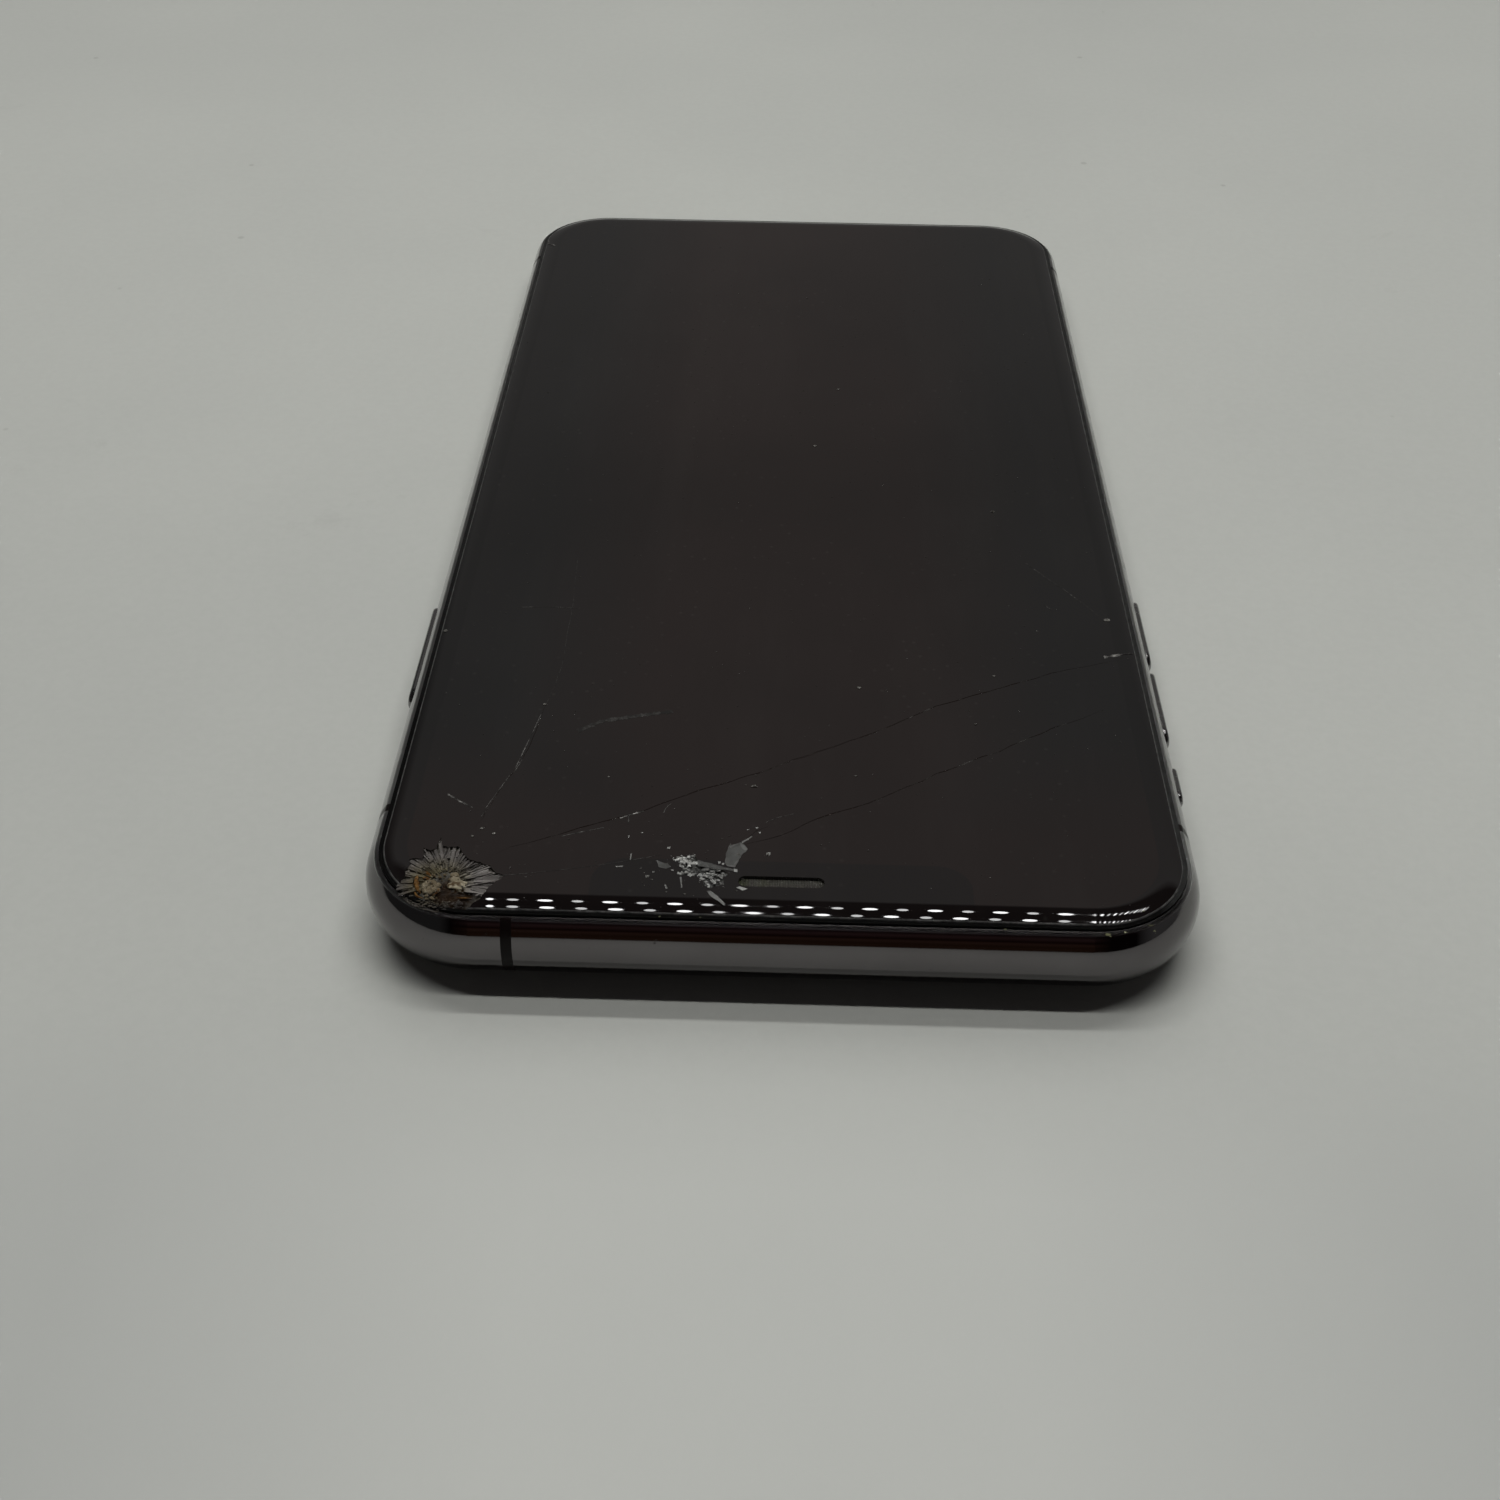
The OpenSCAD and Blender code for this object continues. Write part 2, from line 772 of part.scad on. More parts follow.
module camera_window() {
    color("#0e0f12") difference() {
        bump_pill(bump_rim + fit, window_z0, window_z1);
        at_lenses() cylinder(d = lens_d + 2 * trim_w + 2 * fit, h = 3);
        at_bump() cylinder(d = flash_d + 2 * fit, h = 3);
    }
}

module lens_trims() {
    color("#3c3d40") at_lenses() difference() {
        cylinder(d = lens_d + 2 * trim_w, h = window_z1);
        translate([0, 0, -cut]) cylinder(d = lens_d, h = 3);
    }
}

module lens_covers() {
    color("#10131a") at_lenses() translate([0, 0, 0.15]) cylinder(d = lens_d - 2 * fit, h = 0.6);
}

// Camera with its barrel reaching down into the bump; side is 1 for the upper lens
module camera_module(side, barrel) {
    z0 = window_z0 + 0.55;
    half = camera_body / 2;
    translate([camera_x, camera_y + side * lens_pitch / 2, 0]) {
        block([-half, -half, part_z], [half, half, ceiling_z]);
        difference() {
            translate([0, 0, z0]) cylinder(d = barrel, h = part_z + 0.2 - z0);
            translate([0, 0, z0 - cut]) cylinder(d = barrel - 2.4, h = 2 * cut);
        }
    }
}

module wide_camera() {
    color("#2c2e33") camera_module(1, lens_d - 0.6);
}

module tele_camera() {
    color("#2c2e33") camera_module(-1, lens_d - 1);
}

module flash_lamp() {
    neck = window_z1 + 0.5;
    color("#e9dfa8") at_bump() {
        translate([0, 0, window_z0]) cylinder(d = flash_d, h = neck - window_z0);
        block([-2, -1.7, neck], [2, 1.7, floor_z + 1.5]);
    }
}

// ---------- boards ----------

module board_screw_places() {
    for (y = [board_y0 + board_hole_in, board_y1 - board_hole_in])
        for (x = [board_x0 + board_hole_in, board_x1 - board_hole_in])
            translate([x, y, board_z]) children();
}

module logic_board() {
    color("#1f3a2a") difference() {
        block([board_x0, board_y0, board_z], [board_x1, board_y1, board_top]);
        board_screw_places() translate([0, 0, -cut]) cylinder(d = board_hole_d, h = 3);
    }
}

// Frame of small boards that holds the upper board off the lower one
module board_spacer() {
    w = 1.4;
    color("#3d4a3a") difference() {
        block([board_x0 + upper_in, upper_y0, board_top],
              [board_x1 - upper_in, upper_y1, upper_z]);
        block([board_x0 + upper_in + w, upper_y0 + w, board_top - cut],
              [board_x1 - upper_in - w, upper_y1 - w, upper_z + cut]);
    }
}

module upper_board() {
    color("#24452f") block([board_x0 + upper_in, upper_y0, upper_z],
                           [board_x1 - upper_in, upper_y1, upper_top]);
}

// Processor and memory, between the two boards
module board_chips() {
    chip = 11;
    in = upper_in + 3;
    color("#1a1a1c") {
        block([board_x0 + in, upper_y0 + 3, board_top],
              [board_x0 + in + chip, upper_y0 + 3 + chip, board_top + 0.75]);
        block([board_x0 + in, upper_y1 - 3 - chip, board_top],
              [board_x0 + in + chip, upper_y1 - 3, board_top + 0.7]);
    }
}

module board_shield() {
    wall = 0.25;
    in = upper_in + 0.6;
    color("#9a9b98") difference() {
        block([board_x0 + in, upper_y0 + 0.6, upper_top],
              [board_x1 - in, can_y1, upper_top + shield_can_t]);
        block([board_x0 + in + wall, upper_y0 + 0.6 + wall, upper_top - cut],
              [board_x1 - in - wall, can_y1 - wall, upper_top + shield_can_t - wall]);
    }
}

module connector_cover() {
    in = upper_in + 0.6;
    color("#8f9192") block([board_x0 + in, connector_y1 - connector_l, upper_top],
                           [board_x1 - in, connector_y1, upper_top + connector_t]);
}

module board_screws() {
    color("#b9b9b6") board_screw_places() {
        translate([0, 0, board_t]) cylinder(d = 2.4, h = 0.5);
        translate([0, 0, part_z - board_z]) cylinder(d = 1.2, h = board_top - part_z);
    }
}

// Cage on the lower board that takes the card tray
module card_reader() {
    x0 = reader_x1 - reader_depth;
    gap = tray_body_t / 2 + reader_gap;
    color("#a9aaa8") difference() {
        block([x0 - reader_wall, tray_y - reader_l / 2, board_top],
              [reader_x1, tray_y + reader_l / 2, mid_z + gap + 0.2]);
        block([x0, tray_y - reader_l / 2 + reader_wall, mid_z - gap],
              [reader_x1 + cut, tray_y + reader_l / 2 - reader_wall, mid_z + gap]);
    }
}

// Tray: its face follows the band's outer face, its frame holds a card on a thin ledge
module card_tray() {
    half = tray_body_l / 2;
    card_x = tray_face_in + 6;
    card_w = 8.9;
    card_l = 12.4;
    card_ledge = 1;
    color("#4a4a4c") {
        difference() {
            intersection() {
                band_envelope();
                at_side(1, tray_y) pill_x(tray_l, tray_h, -cut, tray_face_in - fit);
            }
            at_side(1, tray_y) translate([-cut, -tray_l / 2 + 1.6, 0])
                rotate([0, 90, 0]) cylinder(d = 0.9, h = 3);
        }
        at_side(1, tray_y) difference() {
            block([tray_face_in - 0.2, -half, -tray_body_t / 2],
                  [tray_face_in + tray_depth, half, tray_body_t / 2]);
            block([card_x, -card_l / 2, -tray_body_t / 2 + 0.4],
                  [card_x + card_w, card_l / 2, cut]);
            block([card_x + card_ledge, -card_l / 2 + card_ledge, -cut],
                  [card_x + card_w - card_ledge, card_l / 2 - card_ledge, cut]);
        }
    }
}

// ---------- battery and lower bay ----------

module battery_long_cell() {
    color("#2e2f31") block([cell_x0, board_y0, floor_z + tape_t], [cell_x1, cell_y1, cell_z1]);
}

module battery_short_cell() {
    color("#2e2f31") block([cell_x0, short_cell_y0, floor_z + tape_t],
                           [-cell_x0, short_cell_y1, cell_z1]);
}

// Pull strips under the two cells
module battery_tapes() {
    w = 7;
    color("#d8d8d2") {
        for (x = [cell_x0 + 4, cell_x1 - 4 - w])
            block([x, board_y0 + 6, floor_z], [x + w, cell_y1 - 12, floor_z + tape_t]);
        for (y = [short_cell_y0 + 3, short_cell_y1 - 3 - w])
            block([cell_x0 + 1, y, floor_z], [-coil_hole_r - 0.5, y + w, floor_z + tape_t]);
    }
}

// Vibration motor with its screw ear
module vibration_motor() {
    x1 = -boss_w - 1.2;
    color("#9c9d9f") in_bay(0.4) {
        block([-bay_x, -bay_y + 3, part_z], [x1, sound_row_y, ceiling_z - 0.3]);
        block([x1 - 1, sound_row_y - 4, part_z], [x1 + 1.2, sound_row_y - 1, part_z + 1]);
    }
}

module loudspeaker() {
    x0 = boss_w + 1.2;
    color("#242526") in_bay(0.4) {
        block([x0, -bay_y + 1, part_z], [bay_x, sound_row_y, ceiling_z - 0.3]);
        block([x0 - 1.2, sound_row_y - 4, part_z], [x0 + 1, sound_row_y - 1, part_z + 1]);
    }
}

// Dust meshes behind the two rows of sound holes
module sound_meshes() {
    y0 = -body_l / 2 + band_wall + fit;
    h = hole_d / 2 + 0.5;
    for (row = [[1, holes_right], [-1, holes_left]]) {
        a = row[0] * (hole_x - 1);
        b = row[0] * (hole_x + (row[1] - 1) * hole_pitch + 1);
        color("#38383a") in_bay(fit)
            block([min(a, b), y0, mid_z - h], [max(a, b), y0 + 0.25, mid_z + h]);
    }
}

// Socket shell with a row of contacts
module charge_socket() {
    back = socket_y0 + port_depth;
    color("#6d6e70") translate([0, 0, mid_z]) {
        difference() {
            pill_y(port_w + 2 * socket_wall, port_h + 2 * socket_wall, socket_y0, back);
            pill_y(port_w, port_h, socket_y0 - cut, back - 0.8);
        }
        for (i = [-3.5:3.5]) block([i * 0.7 - 0.2, socket_y0 + 1.2, -port_h / 2 - 0.1],
                                   [i * 0.7 + 0.2, back - 0.8, -port_h / 2 + 0.15]);
    }
}

module charge_flex() {
    color("#8a5c22") block([-screw_x, socket_y0 + 0.6, part_z],
                           [screw_x, sound_row_y - 2, part_z + 0.25]);
}

// Two microphones on the charging flex
module bottom_microphones() {
    color("#b49a5c") for (s = [-1, 1])
        block([s * 5.8 - 1.2, socket_y0 + port_depth + 0.8, part_z + 0.25],
              [s * 5.8 + 1.2, socket_y0 + port_depth + 3.4, part_z + 1.2]);
}

// ---------- buttons ----------

// Pad with a crowned face and two pins that pass through the band
module button(side, y, l) {
    color("#3f3f42") at_side(side, y) {
        intersection() {
            pill_x(l, button_h, -button_proud, pocket_in - button_travel - fit);
            translate([crown_r - button_proud, l, 0]) rotate([90, 0, 0])
                cylinder(r = crown_r, h = 2 * l, $fn = 96);
        }
        for (s = [-1, 1]) translate([0.5, s * pin_pitch(l) / 2, 0])
            rotate([0, 90, 0]) cylinder(d = pin_d, h = pin_in - 0.5);
    }
}

// Rings that keep the two pins from pulling out
module clips(side, y, l) {
    color("#a5a6a4") at_side(side, y) for (s = [-1, 1])
        translate([clip_in, s * pin_pitch(l) / 2, 0]) rotate([0, 90, 0]) difference() {
            cylinder(d = pin_d + 2 * clip_w, h = clip_t);
            translate([0, 0, -cut]) cylinder(d = pin_d + 0.02, h = 3);
        }
}

module side_button() {
    button(1, side_button_y, side_button_l);
}

module side_button_clips() {
    clips(1, side_button_y, side_button_l);
}

module volume_up_button() {
    button(-1, volume_up_y, volume_l);
}

module volume_up_clips() {
    clips(-1, volume_up_y, volume_l);
}

module volume_down_button() {
    button(-1, volume_down_y, volume_l);
}

module volume_down_clips() {
    clips(-1, volume_down_y, volume_l);
}

// Sliding pad with the stem that reaches the switch inside
module ring_switch() {
    color("#3f3f42") at_side(-1, ring_y) translate([0, 0, ring_travel / 2]) {
        pill_x(ring_l, ring_pad_h, -ring_proud, ring_pocket_in - fit);
        block([ring_pocket_in - 0.2, -stem_l / 2, -stem_h / 2], [ledge_in, stem_l / 2, stem_h / 2]);
    }
}

module ring_switch_module() {
    color("#2b2c2e") at_side(-1, ring_y) block([ledge_in + 0.3, -ring_l / 2, part_z - mid_z],
        [band_wall + switch_bay - 0.1, ring_l / 2, ceiling_z - mid_z]);
}

// Strip with its bracket, standing beside the band between two places along Y
module switch_strip(side, y0, y1) {
    x = side * (body_w / 2 - flex_in - flex_t / 2);
    color("#96713a") translate([x, (y0 + y1) / 2, (part_z + ceiling_z) / 2])
        cube([flex_t, y1 - y0, ceiling_z - part_z], center = true);
}

// Dome switches opposite a button's pins
module domes(side, y, l) {
    color("#c9c9c4") at_side(side, y) for (s = [-1, 1])
        translate([dome_in, s * pin_pitch(l) / 2, 0]) rotate([0, 90, 0])
            cylinder(d = dome_d, h = dome_t + 0.05);
}

module side_switch_flex() {
    half = side_button_l / 2 - 0.8;
    switch_strip(1, side_button_y - half, side_button_y + half);
    domes(1, side_button_y, side_button_l);
}

module volume_switch_flex() {
    half = volume_l / 2 - 0.8;
    switch_strip(-1, volume_down_y - half, volume_up_y + half);
    domes(-1, volume_up_y, volume_l);
    domes(-1, volume_down_y, volume_l);
}

// ---------- bottom screws ----------

// Screw with a five-lobed recess in its head
module bottom_screw() {
    recess_z = screw_head_in + recess_t;
    difference() {
        union() {
            translate([0, 0, screw_head_in]) cylinder(d = screw_head_d, h = screw_head_t);
            translate([0, 0, screw_head_in]) cylinder(d = screw_d, h = screw_l);
        }
        cylinder(d = 0.6, h = recess_z);
        for (i = [0:4]) rotate(i * 72) translate([0.32, 0, 0]) cylinder(d = 0.3, h = recess_z);
    }
}

module bottom_screws() {
    color("#2f2f31") for (s = [-1, 1])
        translate([s * screw_x, -body_l / 2, mid_z]) rotate([-90, 0, 0]) bottom_screw();
}

steel_band();
antenna_breaks();
back_plate();
back_glass();
back_adhesive();
cover_glass();
corner_shards();
slot_shards();
display_panel();
display_shield();
display_frame();
display_gasket();
earpiece_mesh();
earpiece_speaker();
front_camera();
infrared_camera();
dot_projector();
proximity_sensor();
sensor_bracket();
camera_ring();
camera_window();
lens_trims();
lens_covers();
wide_camera();
tele_camera();
flash_lamp();
logic_board();
upper_board();
board_spacer();
board_chips();
board_shield();
card_reader();
card_tray();
battery_long_cell();
battery_short_cell();
battery_tapes();
vibration_motor();
loudspeaker();
charge_socket();
charge_flex();
bottom_microphones();
sound_meshes();
charging_coil();
side_button();
side_button_clips();
volume_up_button();
volume_up_clips();
volume_down_button();
volume_down_clips();
ring_switch();
ring_switch_module();
side_switch_flex();
volume_switch_flex();
connector_cover();
bottom_screws();
board_screws();
display_flex();
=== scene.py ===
import math
import random

import bmesh
import bpy
from mathutils import Matrix, Vector, noise
from mathutils.geometry import delaunay_2d_cdt


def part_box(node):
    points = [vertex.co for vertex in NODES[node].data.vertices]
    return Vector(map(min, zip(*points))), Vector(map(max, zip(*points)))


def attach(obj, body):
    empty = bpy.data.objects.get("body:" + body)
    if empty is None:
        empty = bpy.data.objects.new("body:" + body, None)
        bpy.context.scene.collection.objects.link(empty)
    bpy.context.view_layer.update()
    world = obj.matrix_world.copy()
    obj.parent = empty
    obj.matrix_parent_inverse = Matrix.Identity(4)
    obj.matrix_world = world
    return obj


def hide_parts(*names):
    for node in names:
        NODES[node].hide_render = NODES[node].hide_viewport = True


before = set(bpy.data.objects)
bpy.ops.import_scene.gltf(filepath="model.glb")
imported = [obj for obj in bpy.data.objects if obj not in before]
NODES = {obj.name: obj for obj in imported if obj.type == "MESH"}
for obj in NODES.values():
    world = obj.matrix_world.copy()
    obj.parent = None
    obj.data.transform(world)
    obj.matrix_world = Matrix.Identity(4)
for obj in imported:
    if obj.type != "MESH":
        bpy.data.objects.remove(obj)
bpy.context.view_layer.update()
MM = 0.001

# ---------------------------------------------------------------- sizes, in millimetres

BAND_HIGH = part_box("steel_band")[1] / MM
FRAME_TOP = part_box("display_frame")[1].z / MM
GLASS_LOW, GLASS_HIGH = (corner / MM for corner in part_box("cover_glass"))
HALF_W, HALF_L = BAND_HIGH.x, BAND_HIGH.y
CORNER_R = 11.0
GLASS_IN = HALF_W - GLASS_HIGH.x
ROLL_W, ROLL_H = 2.05, 0.4
ROLL_R = (ROLL_W ** 2 + ROLL_H ** 2) / (2 * ROLL_H)
# The glass lies this far under the box's top, which leaves room for dust and loose flakes
DUST_ROOM = 0.06
TOP = GLASS_HIGH.z - DUST_ROOM
SLOT_L, SLOT_W, SLOT_TOP = 7.8, 1.4, 6.15
ACTIVE_X, ACTIVE_Y, ACTIVE_R = 34.5, 75.0, 7.2
NOTCH_HALF, NOTCH_LOW, NOTCH_R = 17.2, 69.9, 3.2
CRATER_DEPTH = 0.42
LIP = 0.15
# The second of these is the height above which the band's top is painted near black, as shade at the joint
# with the frame
RIM_LOW, JOINT_SHADE_LOW, RIM_CORNER = 7.95, 8.13, (35.5, 73.0)

CORNER_HIT = (30.0, 73.6)
CORNER_EDGE = ((24.9, 72.7), (25.5, 73.4), (26.0, 74.0), (26.4, 74.9), (26.7, 75.7), (27.6, 76.55),
               (29.2, 76.9), (30.7, 77.0), (32.0, 76.6), (33.2, 75.9), (34.1, 75.0), (34.4, 74.2),
               (34.2, 73.5), (33.9, 72.8), (34.0, 72.1), (33.6, 71.5), (33.9, 70.9), (33.3, 70.6),
               (32.7, 70.8), (32.8, 69.2), (32.1, 69.5), (31.7, 69.2), (31.45, 67.7), (31.15, 68.8),
               (30.6, 69.0), (29.7, 68.9), (29.2, 69.8), (28.4, 70.7), (27.4, 71.0), (26.5, 71.4),
               (25.8, 72.4))
# Where the corner is torn open to the layers under the glass
TORN = ((31.0, 73.5), (30.2, 73.5), (29.9, 74.4), (29.0, 74.9), (27.8, 75.2), (26.8, 75.4), (26.4, 75.8),
        (27.4, 76.25), (28.8, 76.15), (29.8, 75.9), (30.6, 75.5), (31.0, 74.9))
SLOT_HIT = (7.7, 71.3)
SLOT_EDGE = ((10.0, 69.8), (9.4, 69.5), (8.6, 69.4), (8.0, 69.2), (7.7, 69.9), (6.9, 70.5), (5.6, 70.9),
             (5.0, 71.5), (4.8, 71.9), (5.3, 72.2), (5.2, 73.1), (5.7, 73.3), (6.4, 73.7), (6.9, 73.4),
             (7.2, 72.7), (7.6, 72.1), (8.3, 72.1), (9.2, 71.95), (9.5, 71.6), (8.9, 71.2), (9.3, 70.8),
             (8.9, 70.5), (9.6, 70.2))

CRACK_LONG = ((25.0, 68.8), (19.0, 65.9), (12.9, 63.0), (8.1, 59.9), (2.6, 57.1), (-2.5, 54.0), (-8.7, 50.3),
              (-15.2, 45.5), (-20.7, 42.8), (-27.4, 39.3), (-34.8, 36.6))
CRACK_SHORT = ((3.3, 67.5), (0.4, 66.3), (-3.5, 63.5), (-9.5, 60.2), (-14.7, 56.4), (-21.0, 52.8),
               (-26.5, 48.8), (-32.1, 45.5))
CRACK_DOWN = ((28.0, 64.8), (27.7, 63.2), (25.9, 57.6), (24.9, 53.4), (24.1, 46.9))
CRACK_TAIL = ((3.3, 66.9), (2.4, 65.6), (1.3, 64.9))

# ---------------------------------------------------------------- camera

CAMERA_PLACE = (0.473, 201.219, 124.739)
CAMERA_FORWARD = (0.0154068, -0.78698453, -0.61678033)
CAMERA_UP = (0.02532498, -0.61634852, 0.78706616)
CAMERA_LENS = 46.05


def make_camera():
    forward, up = Vector(CAMERA_FORWARD), Vector(CAMERA_UP)
    right = forward.cross(up).normalized()
    up = right.cross(forward)
    turn = Matrix((right, up, -forward)).transposed()
    data = bpy.data.cameras.new("camera")
    data.lens, data.sensor_width = CAMERA_LENS, 36
    data.clip_start, data.clip_end = 0.01, 20
    camera = bpy.data.objects.new("camera", data)
    bpy.context.scene.collection.objects.link(camera)
    camera.matrix_world = Matrix.Translation(Vector(CAMERA_PLACE) * MM) @ turn.to_4x4()
    bpy.context.scene.camera = camera


# ---------------------------------------------------------------- node helper

class Graph:
    """A node tree of a material or the world, with short ways to add nodes to it."""

    def __init__(self, name, world=False):
        self.material = (bpy.data.worlds if world else bpy.data.materials).new(name)
        self.material.use_nodes = True
        self.tree = self.material.node_tree
        self.tree.nodes.clear()
        self.out = self.add("ShaderNodeOutputWorld" if world else "ShaderNodeOutputMaterial")
        self.place = self.add("ShaderNodeTexCoord").outputs["Generated" if world else "Object"]
        if not world:
            self.shader = self.add("ShaderNodeBsdfPrincipled")
            self.link(self.shader.outputs[0], self.out.inputs[0])

    def add(self, kind, **settings):
        node = self.tree.nodes.new(kind)
        for key, value in settings.items():
            setattr(node, key, value)
        return node

    def link(self, a, b):
        self.tree.links.new(a, b)

    def put(self, socket, value):
        if isinstance(value, bpy.types.NodeSocket):
            self.link(value, socket)
        elif socket.type == "RGBA" and len(value) == 3:
            socket.default_value = (*value, 1)
        else:
            socket.default_value = value

    def fill(self, node, values, out=0):
        """Puts values into a node's inputs, by name or number, and gives one of its outputs."""
        for key, value in values.items():
            self.put(node.inputs[key], value)
        return node.outputs[out]

    def math(self, operation, a, b=0.0):
        return self.fill(self.add("ShaderNodeMath", operation=operation), {0: a, 1: b})

    def times(self, a, b):
        return self.math("MULTIPLY", a, b)

    def stretched(self, by):
        return self.fill(self.add("ShaderNodeVectorMath", operation="MULTIPLY"), {0: self.place, 1: by})

    def axes(self):
        node = self.add("ShaderNodeSeparateXYZ")
        self.link(self.place, node.inputs[0])
        return node.outputs

    def noise(self, scale, detail=3.0, rough=0.5, at=None, distort=0.0):
        values = {"Vector": at or self.place, "Scale": scale, "Detail": detail, "Roughness": rough,
                  "Distortion": distort}
        return self.fill(self.add("ShaderNodeTexNoise"), values, "Fac")

    def cells(self, scale):
        return self.fill(self.add("ShaderNodeTexVoronoi"), {"Vector": self.place, "Scale": scale}, "Distance")

    def span(self, value, low, high, to_low=0.0, to_high=1.0):
        return self.fill(self.add("ShaderNodeMapRange"), dict(enumerate((value, low, high, to_low, to_high))))

    def ramp(self, value, *stops):
        node = self.add("ShaderNodeValToRGB")
        elements = node.color_ramp.elements
        while len(elements) < len(stops):
            elements.new(0.5)
        for element, (at, color) in zip(elements, stops):
            element.position, element.color = at, (*color, 1)
        return self.fill(node, {0: value})

    def mix(self, share, a, b, blend="MIX"):
        node = self.add("ShaderNodeMix", data_type="RGBA", blend_type=blend)
        return self.fill(node, {0: share, 6: a, 7: b}, 2)

    def blend(self, share, a, b):
        return self.math("ADD", a, self.times(share, b - a))

    def near(self, centre, inner, outer):
        """1 within inner of that place, fading to 0 at outer; all in millimetres."""
        far = self.fill(self.add("ShaderNodeVectorMath", operation="DISTANCE"),
                        {0: self.place, 1: Vector(centre) * MM}, "Value")
        return self.span(far, inner * MM, outer * MM, 1.0, 0.0)

    def shade(self):
        """The brightness that a mesh gives each of its pieces."""
        return self.add("ShaderNodeAttribute", attribute_name="shade").outputs["Fac"]

    def made(self, height=None, depth=0.0, strength=1.0, **values):
        """Sets the shader's values, and a bump where a height is given, and gives the material."""
        self.fill(self.shader, {key.replace("_", " "): value for key, value in values.items()})
        if height is not None:
            values = {"Strength": strength, "Distance": depth, "Height": height}
            self.link(self.fill(self.add("ShaderNodeBump"), values), self.shader.inputs["Normal"])
        return self.material


# ---------------------------------------------------------------- light and stage

# The phone lies on its camera bump's lower ring and on its far edge, so the floor rises towards that edge
FAR_FOOT_Y, FAR_FOOT_Z = -77.0, 1.3
BUMP_FOOT_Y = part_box("lens_trims")[0].y / MM
FLOOR_HALF = 2.5

# What gloss sees, by the angle in degrees above the +Y horizon
ROOM = ((0, (0.045, 0.022, 0.013)), (8, (0.034, 0.017, 0.010)), (14, (0.058, 0.030, 0.022)),
        (19, (0.012, 0.004, 0.003)), (23, (0.060, 0.033, 0.032)), (26, (0.008, 0.003, 0.004)),
        (130, (0.004, 0.004, 0.005)), (135, (0.235, 0.23, 0.225)), (150, (0.165, 0.16, 0.155)),
        (180, (0.165, 0.16, 0.155)))
PANEL_ANGLES, PANEL_HALF, PANEL = (27.5, 28.5, 53, 55), 0.15, (0.20, 0.195, 0.20)
ROOM_LEFT, ROOM_RIGHT = (0.04, 0.04, 0.039), (0.11, 0.11, 0.108)
LOW_ANGLE, ROOM_LOW = 26, (0.006, 0.004, 0.004)
BACKDROP = (0.43, 0.44, 0.425)

LAMP_ROWS = ((115.5, 1.0), (100.2, 1.06))
LAMP_DISTANCE, LAMP_FIRST_X, LAMP_FIRST_GAP, LAMP_PITCH, LAMP_COUNT = 207.0, 55.3, 4.37, 6.23, 30
LAMP_FIRST, LAMP_WIDE, LAMP_NARROW, LAMP_LONG, LAMP_POINTS, LAMP_GLOW = 0.75, 1.5, 1.15, 8.5, 12, 26.0


def make_world():
    graph = Graph("room", world=True)
    bpy.context.scene.world = graph.material
    x, y, z = graph.axes()
    degrees = graph.math("DEGREES", graph.math("ARCTAN2", z, y))
    beside = graph.math("ABSOLUTE", x)
    seen = graph.ramp(graph.math("DIVIDE", degrees, 180.0), *((at / 180, color) for at, color in ROOM))
    low0, low1, high0, high1 = PANEL_ANGLES
    panel = graph.times(graph.span(degrees, low0, low1), graph.span(degrees, high0, high1, 1, 0))
    panel = graph.times(panel, graph.span(beside, PANEL_HALF, PANEL_HALF * 1.12, 1, 0))
    seen = graph.mix(panel, seen, PANEL)
    low = graph.times(graph.span(beside, 0.15, 0.4), graph.span(degrees, LOW_ANGLE, LOW_ANGLE + 1, 1, 0))
    seen = graph.mix(low, seen, ROOM_LOW)
    seen = graph.mix(graph.span(x, 0.4, 0.55), seen, ROOM_LEFT)
    seen = graph.mix(graph.span(x, -0.72, -0.9), seen, ROOM_RIGHT)
    path = graph.add("ShaderNodeLightPath")
    color = graph.mix(path.outputs["Is Camera Ray"], seen, BACKDROP)
    shown = graph.fill(graph.add("ShaderNodeBackground"), {"Color": color})
    graph.link(shown, graph.out.inputs[0])


def area_lamp(name, place, target, size, watts, color=(1, 1, 1)):
    data = bpy.data.lights.new(name, "AREA")
    data.shape, data.size, data.size_y = "RECTANGLE", size[0], size[1]
    data.energy, data.color = watts, color
    lamp = bpy.data.objects.new(name, data)
    bpy.context.scene.collection.objects.link(lamp)
    place, target = Vector(place), Vector(target)
    lamp.location = place
    lamp.rotation_mode = "QUATERNION"
    lamp.rotation_quaternion = (target - place).to_track_quat("-Z", "Y")
    lamp.visible_glossy = False
    lamp.visible_camera = False


def overhead(degrees, distance):
    """A place above the near edge, by the angle above the +Y horizon."""
    a = math.radians(degrees)
    return Vector((0, HALF_L * MM + distance * math.cos(a), distance * math.sin(a)))


def make_lights():
    edge = Vector((0, HALF_L * MM, 0))
    warm = (1.0, 1.0, 0.985)
    area_lamp("key", (0, -0.9, 1.2), (0, 0.05, 0), (1.4, 0.7), 5.2, warm)
    area_lamp("strip_near", overhead(90, 0.9), edge, (0.9, 0.04), 3.4, warm)
    area_lamp("strip_far", overhead(109.5, 0.9), edge, (0.9, 0.04), 3.1, warm)


def new_object(name, mesh, *materials):
    obj = bpy.data.objects.new(name, mesh)
    bpy.context.scene.collection.objects.link(obj)
    for material in materials:
        obj.data.materials.append(material)
    return obj


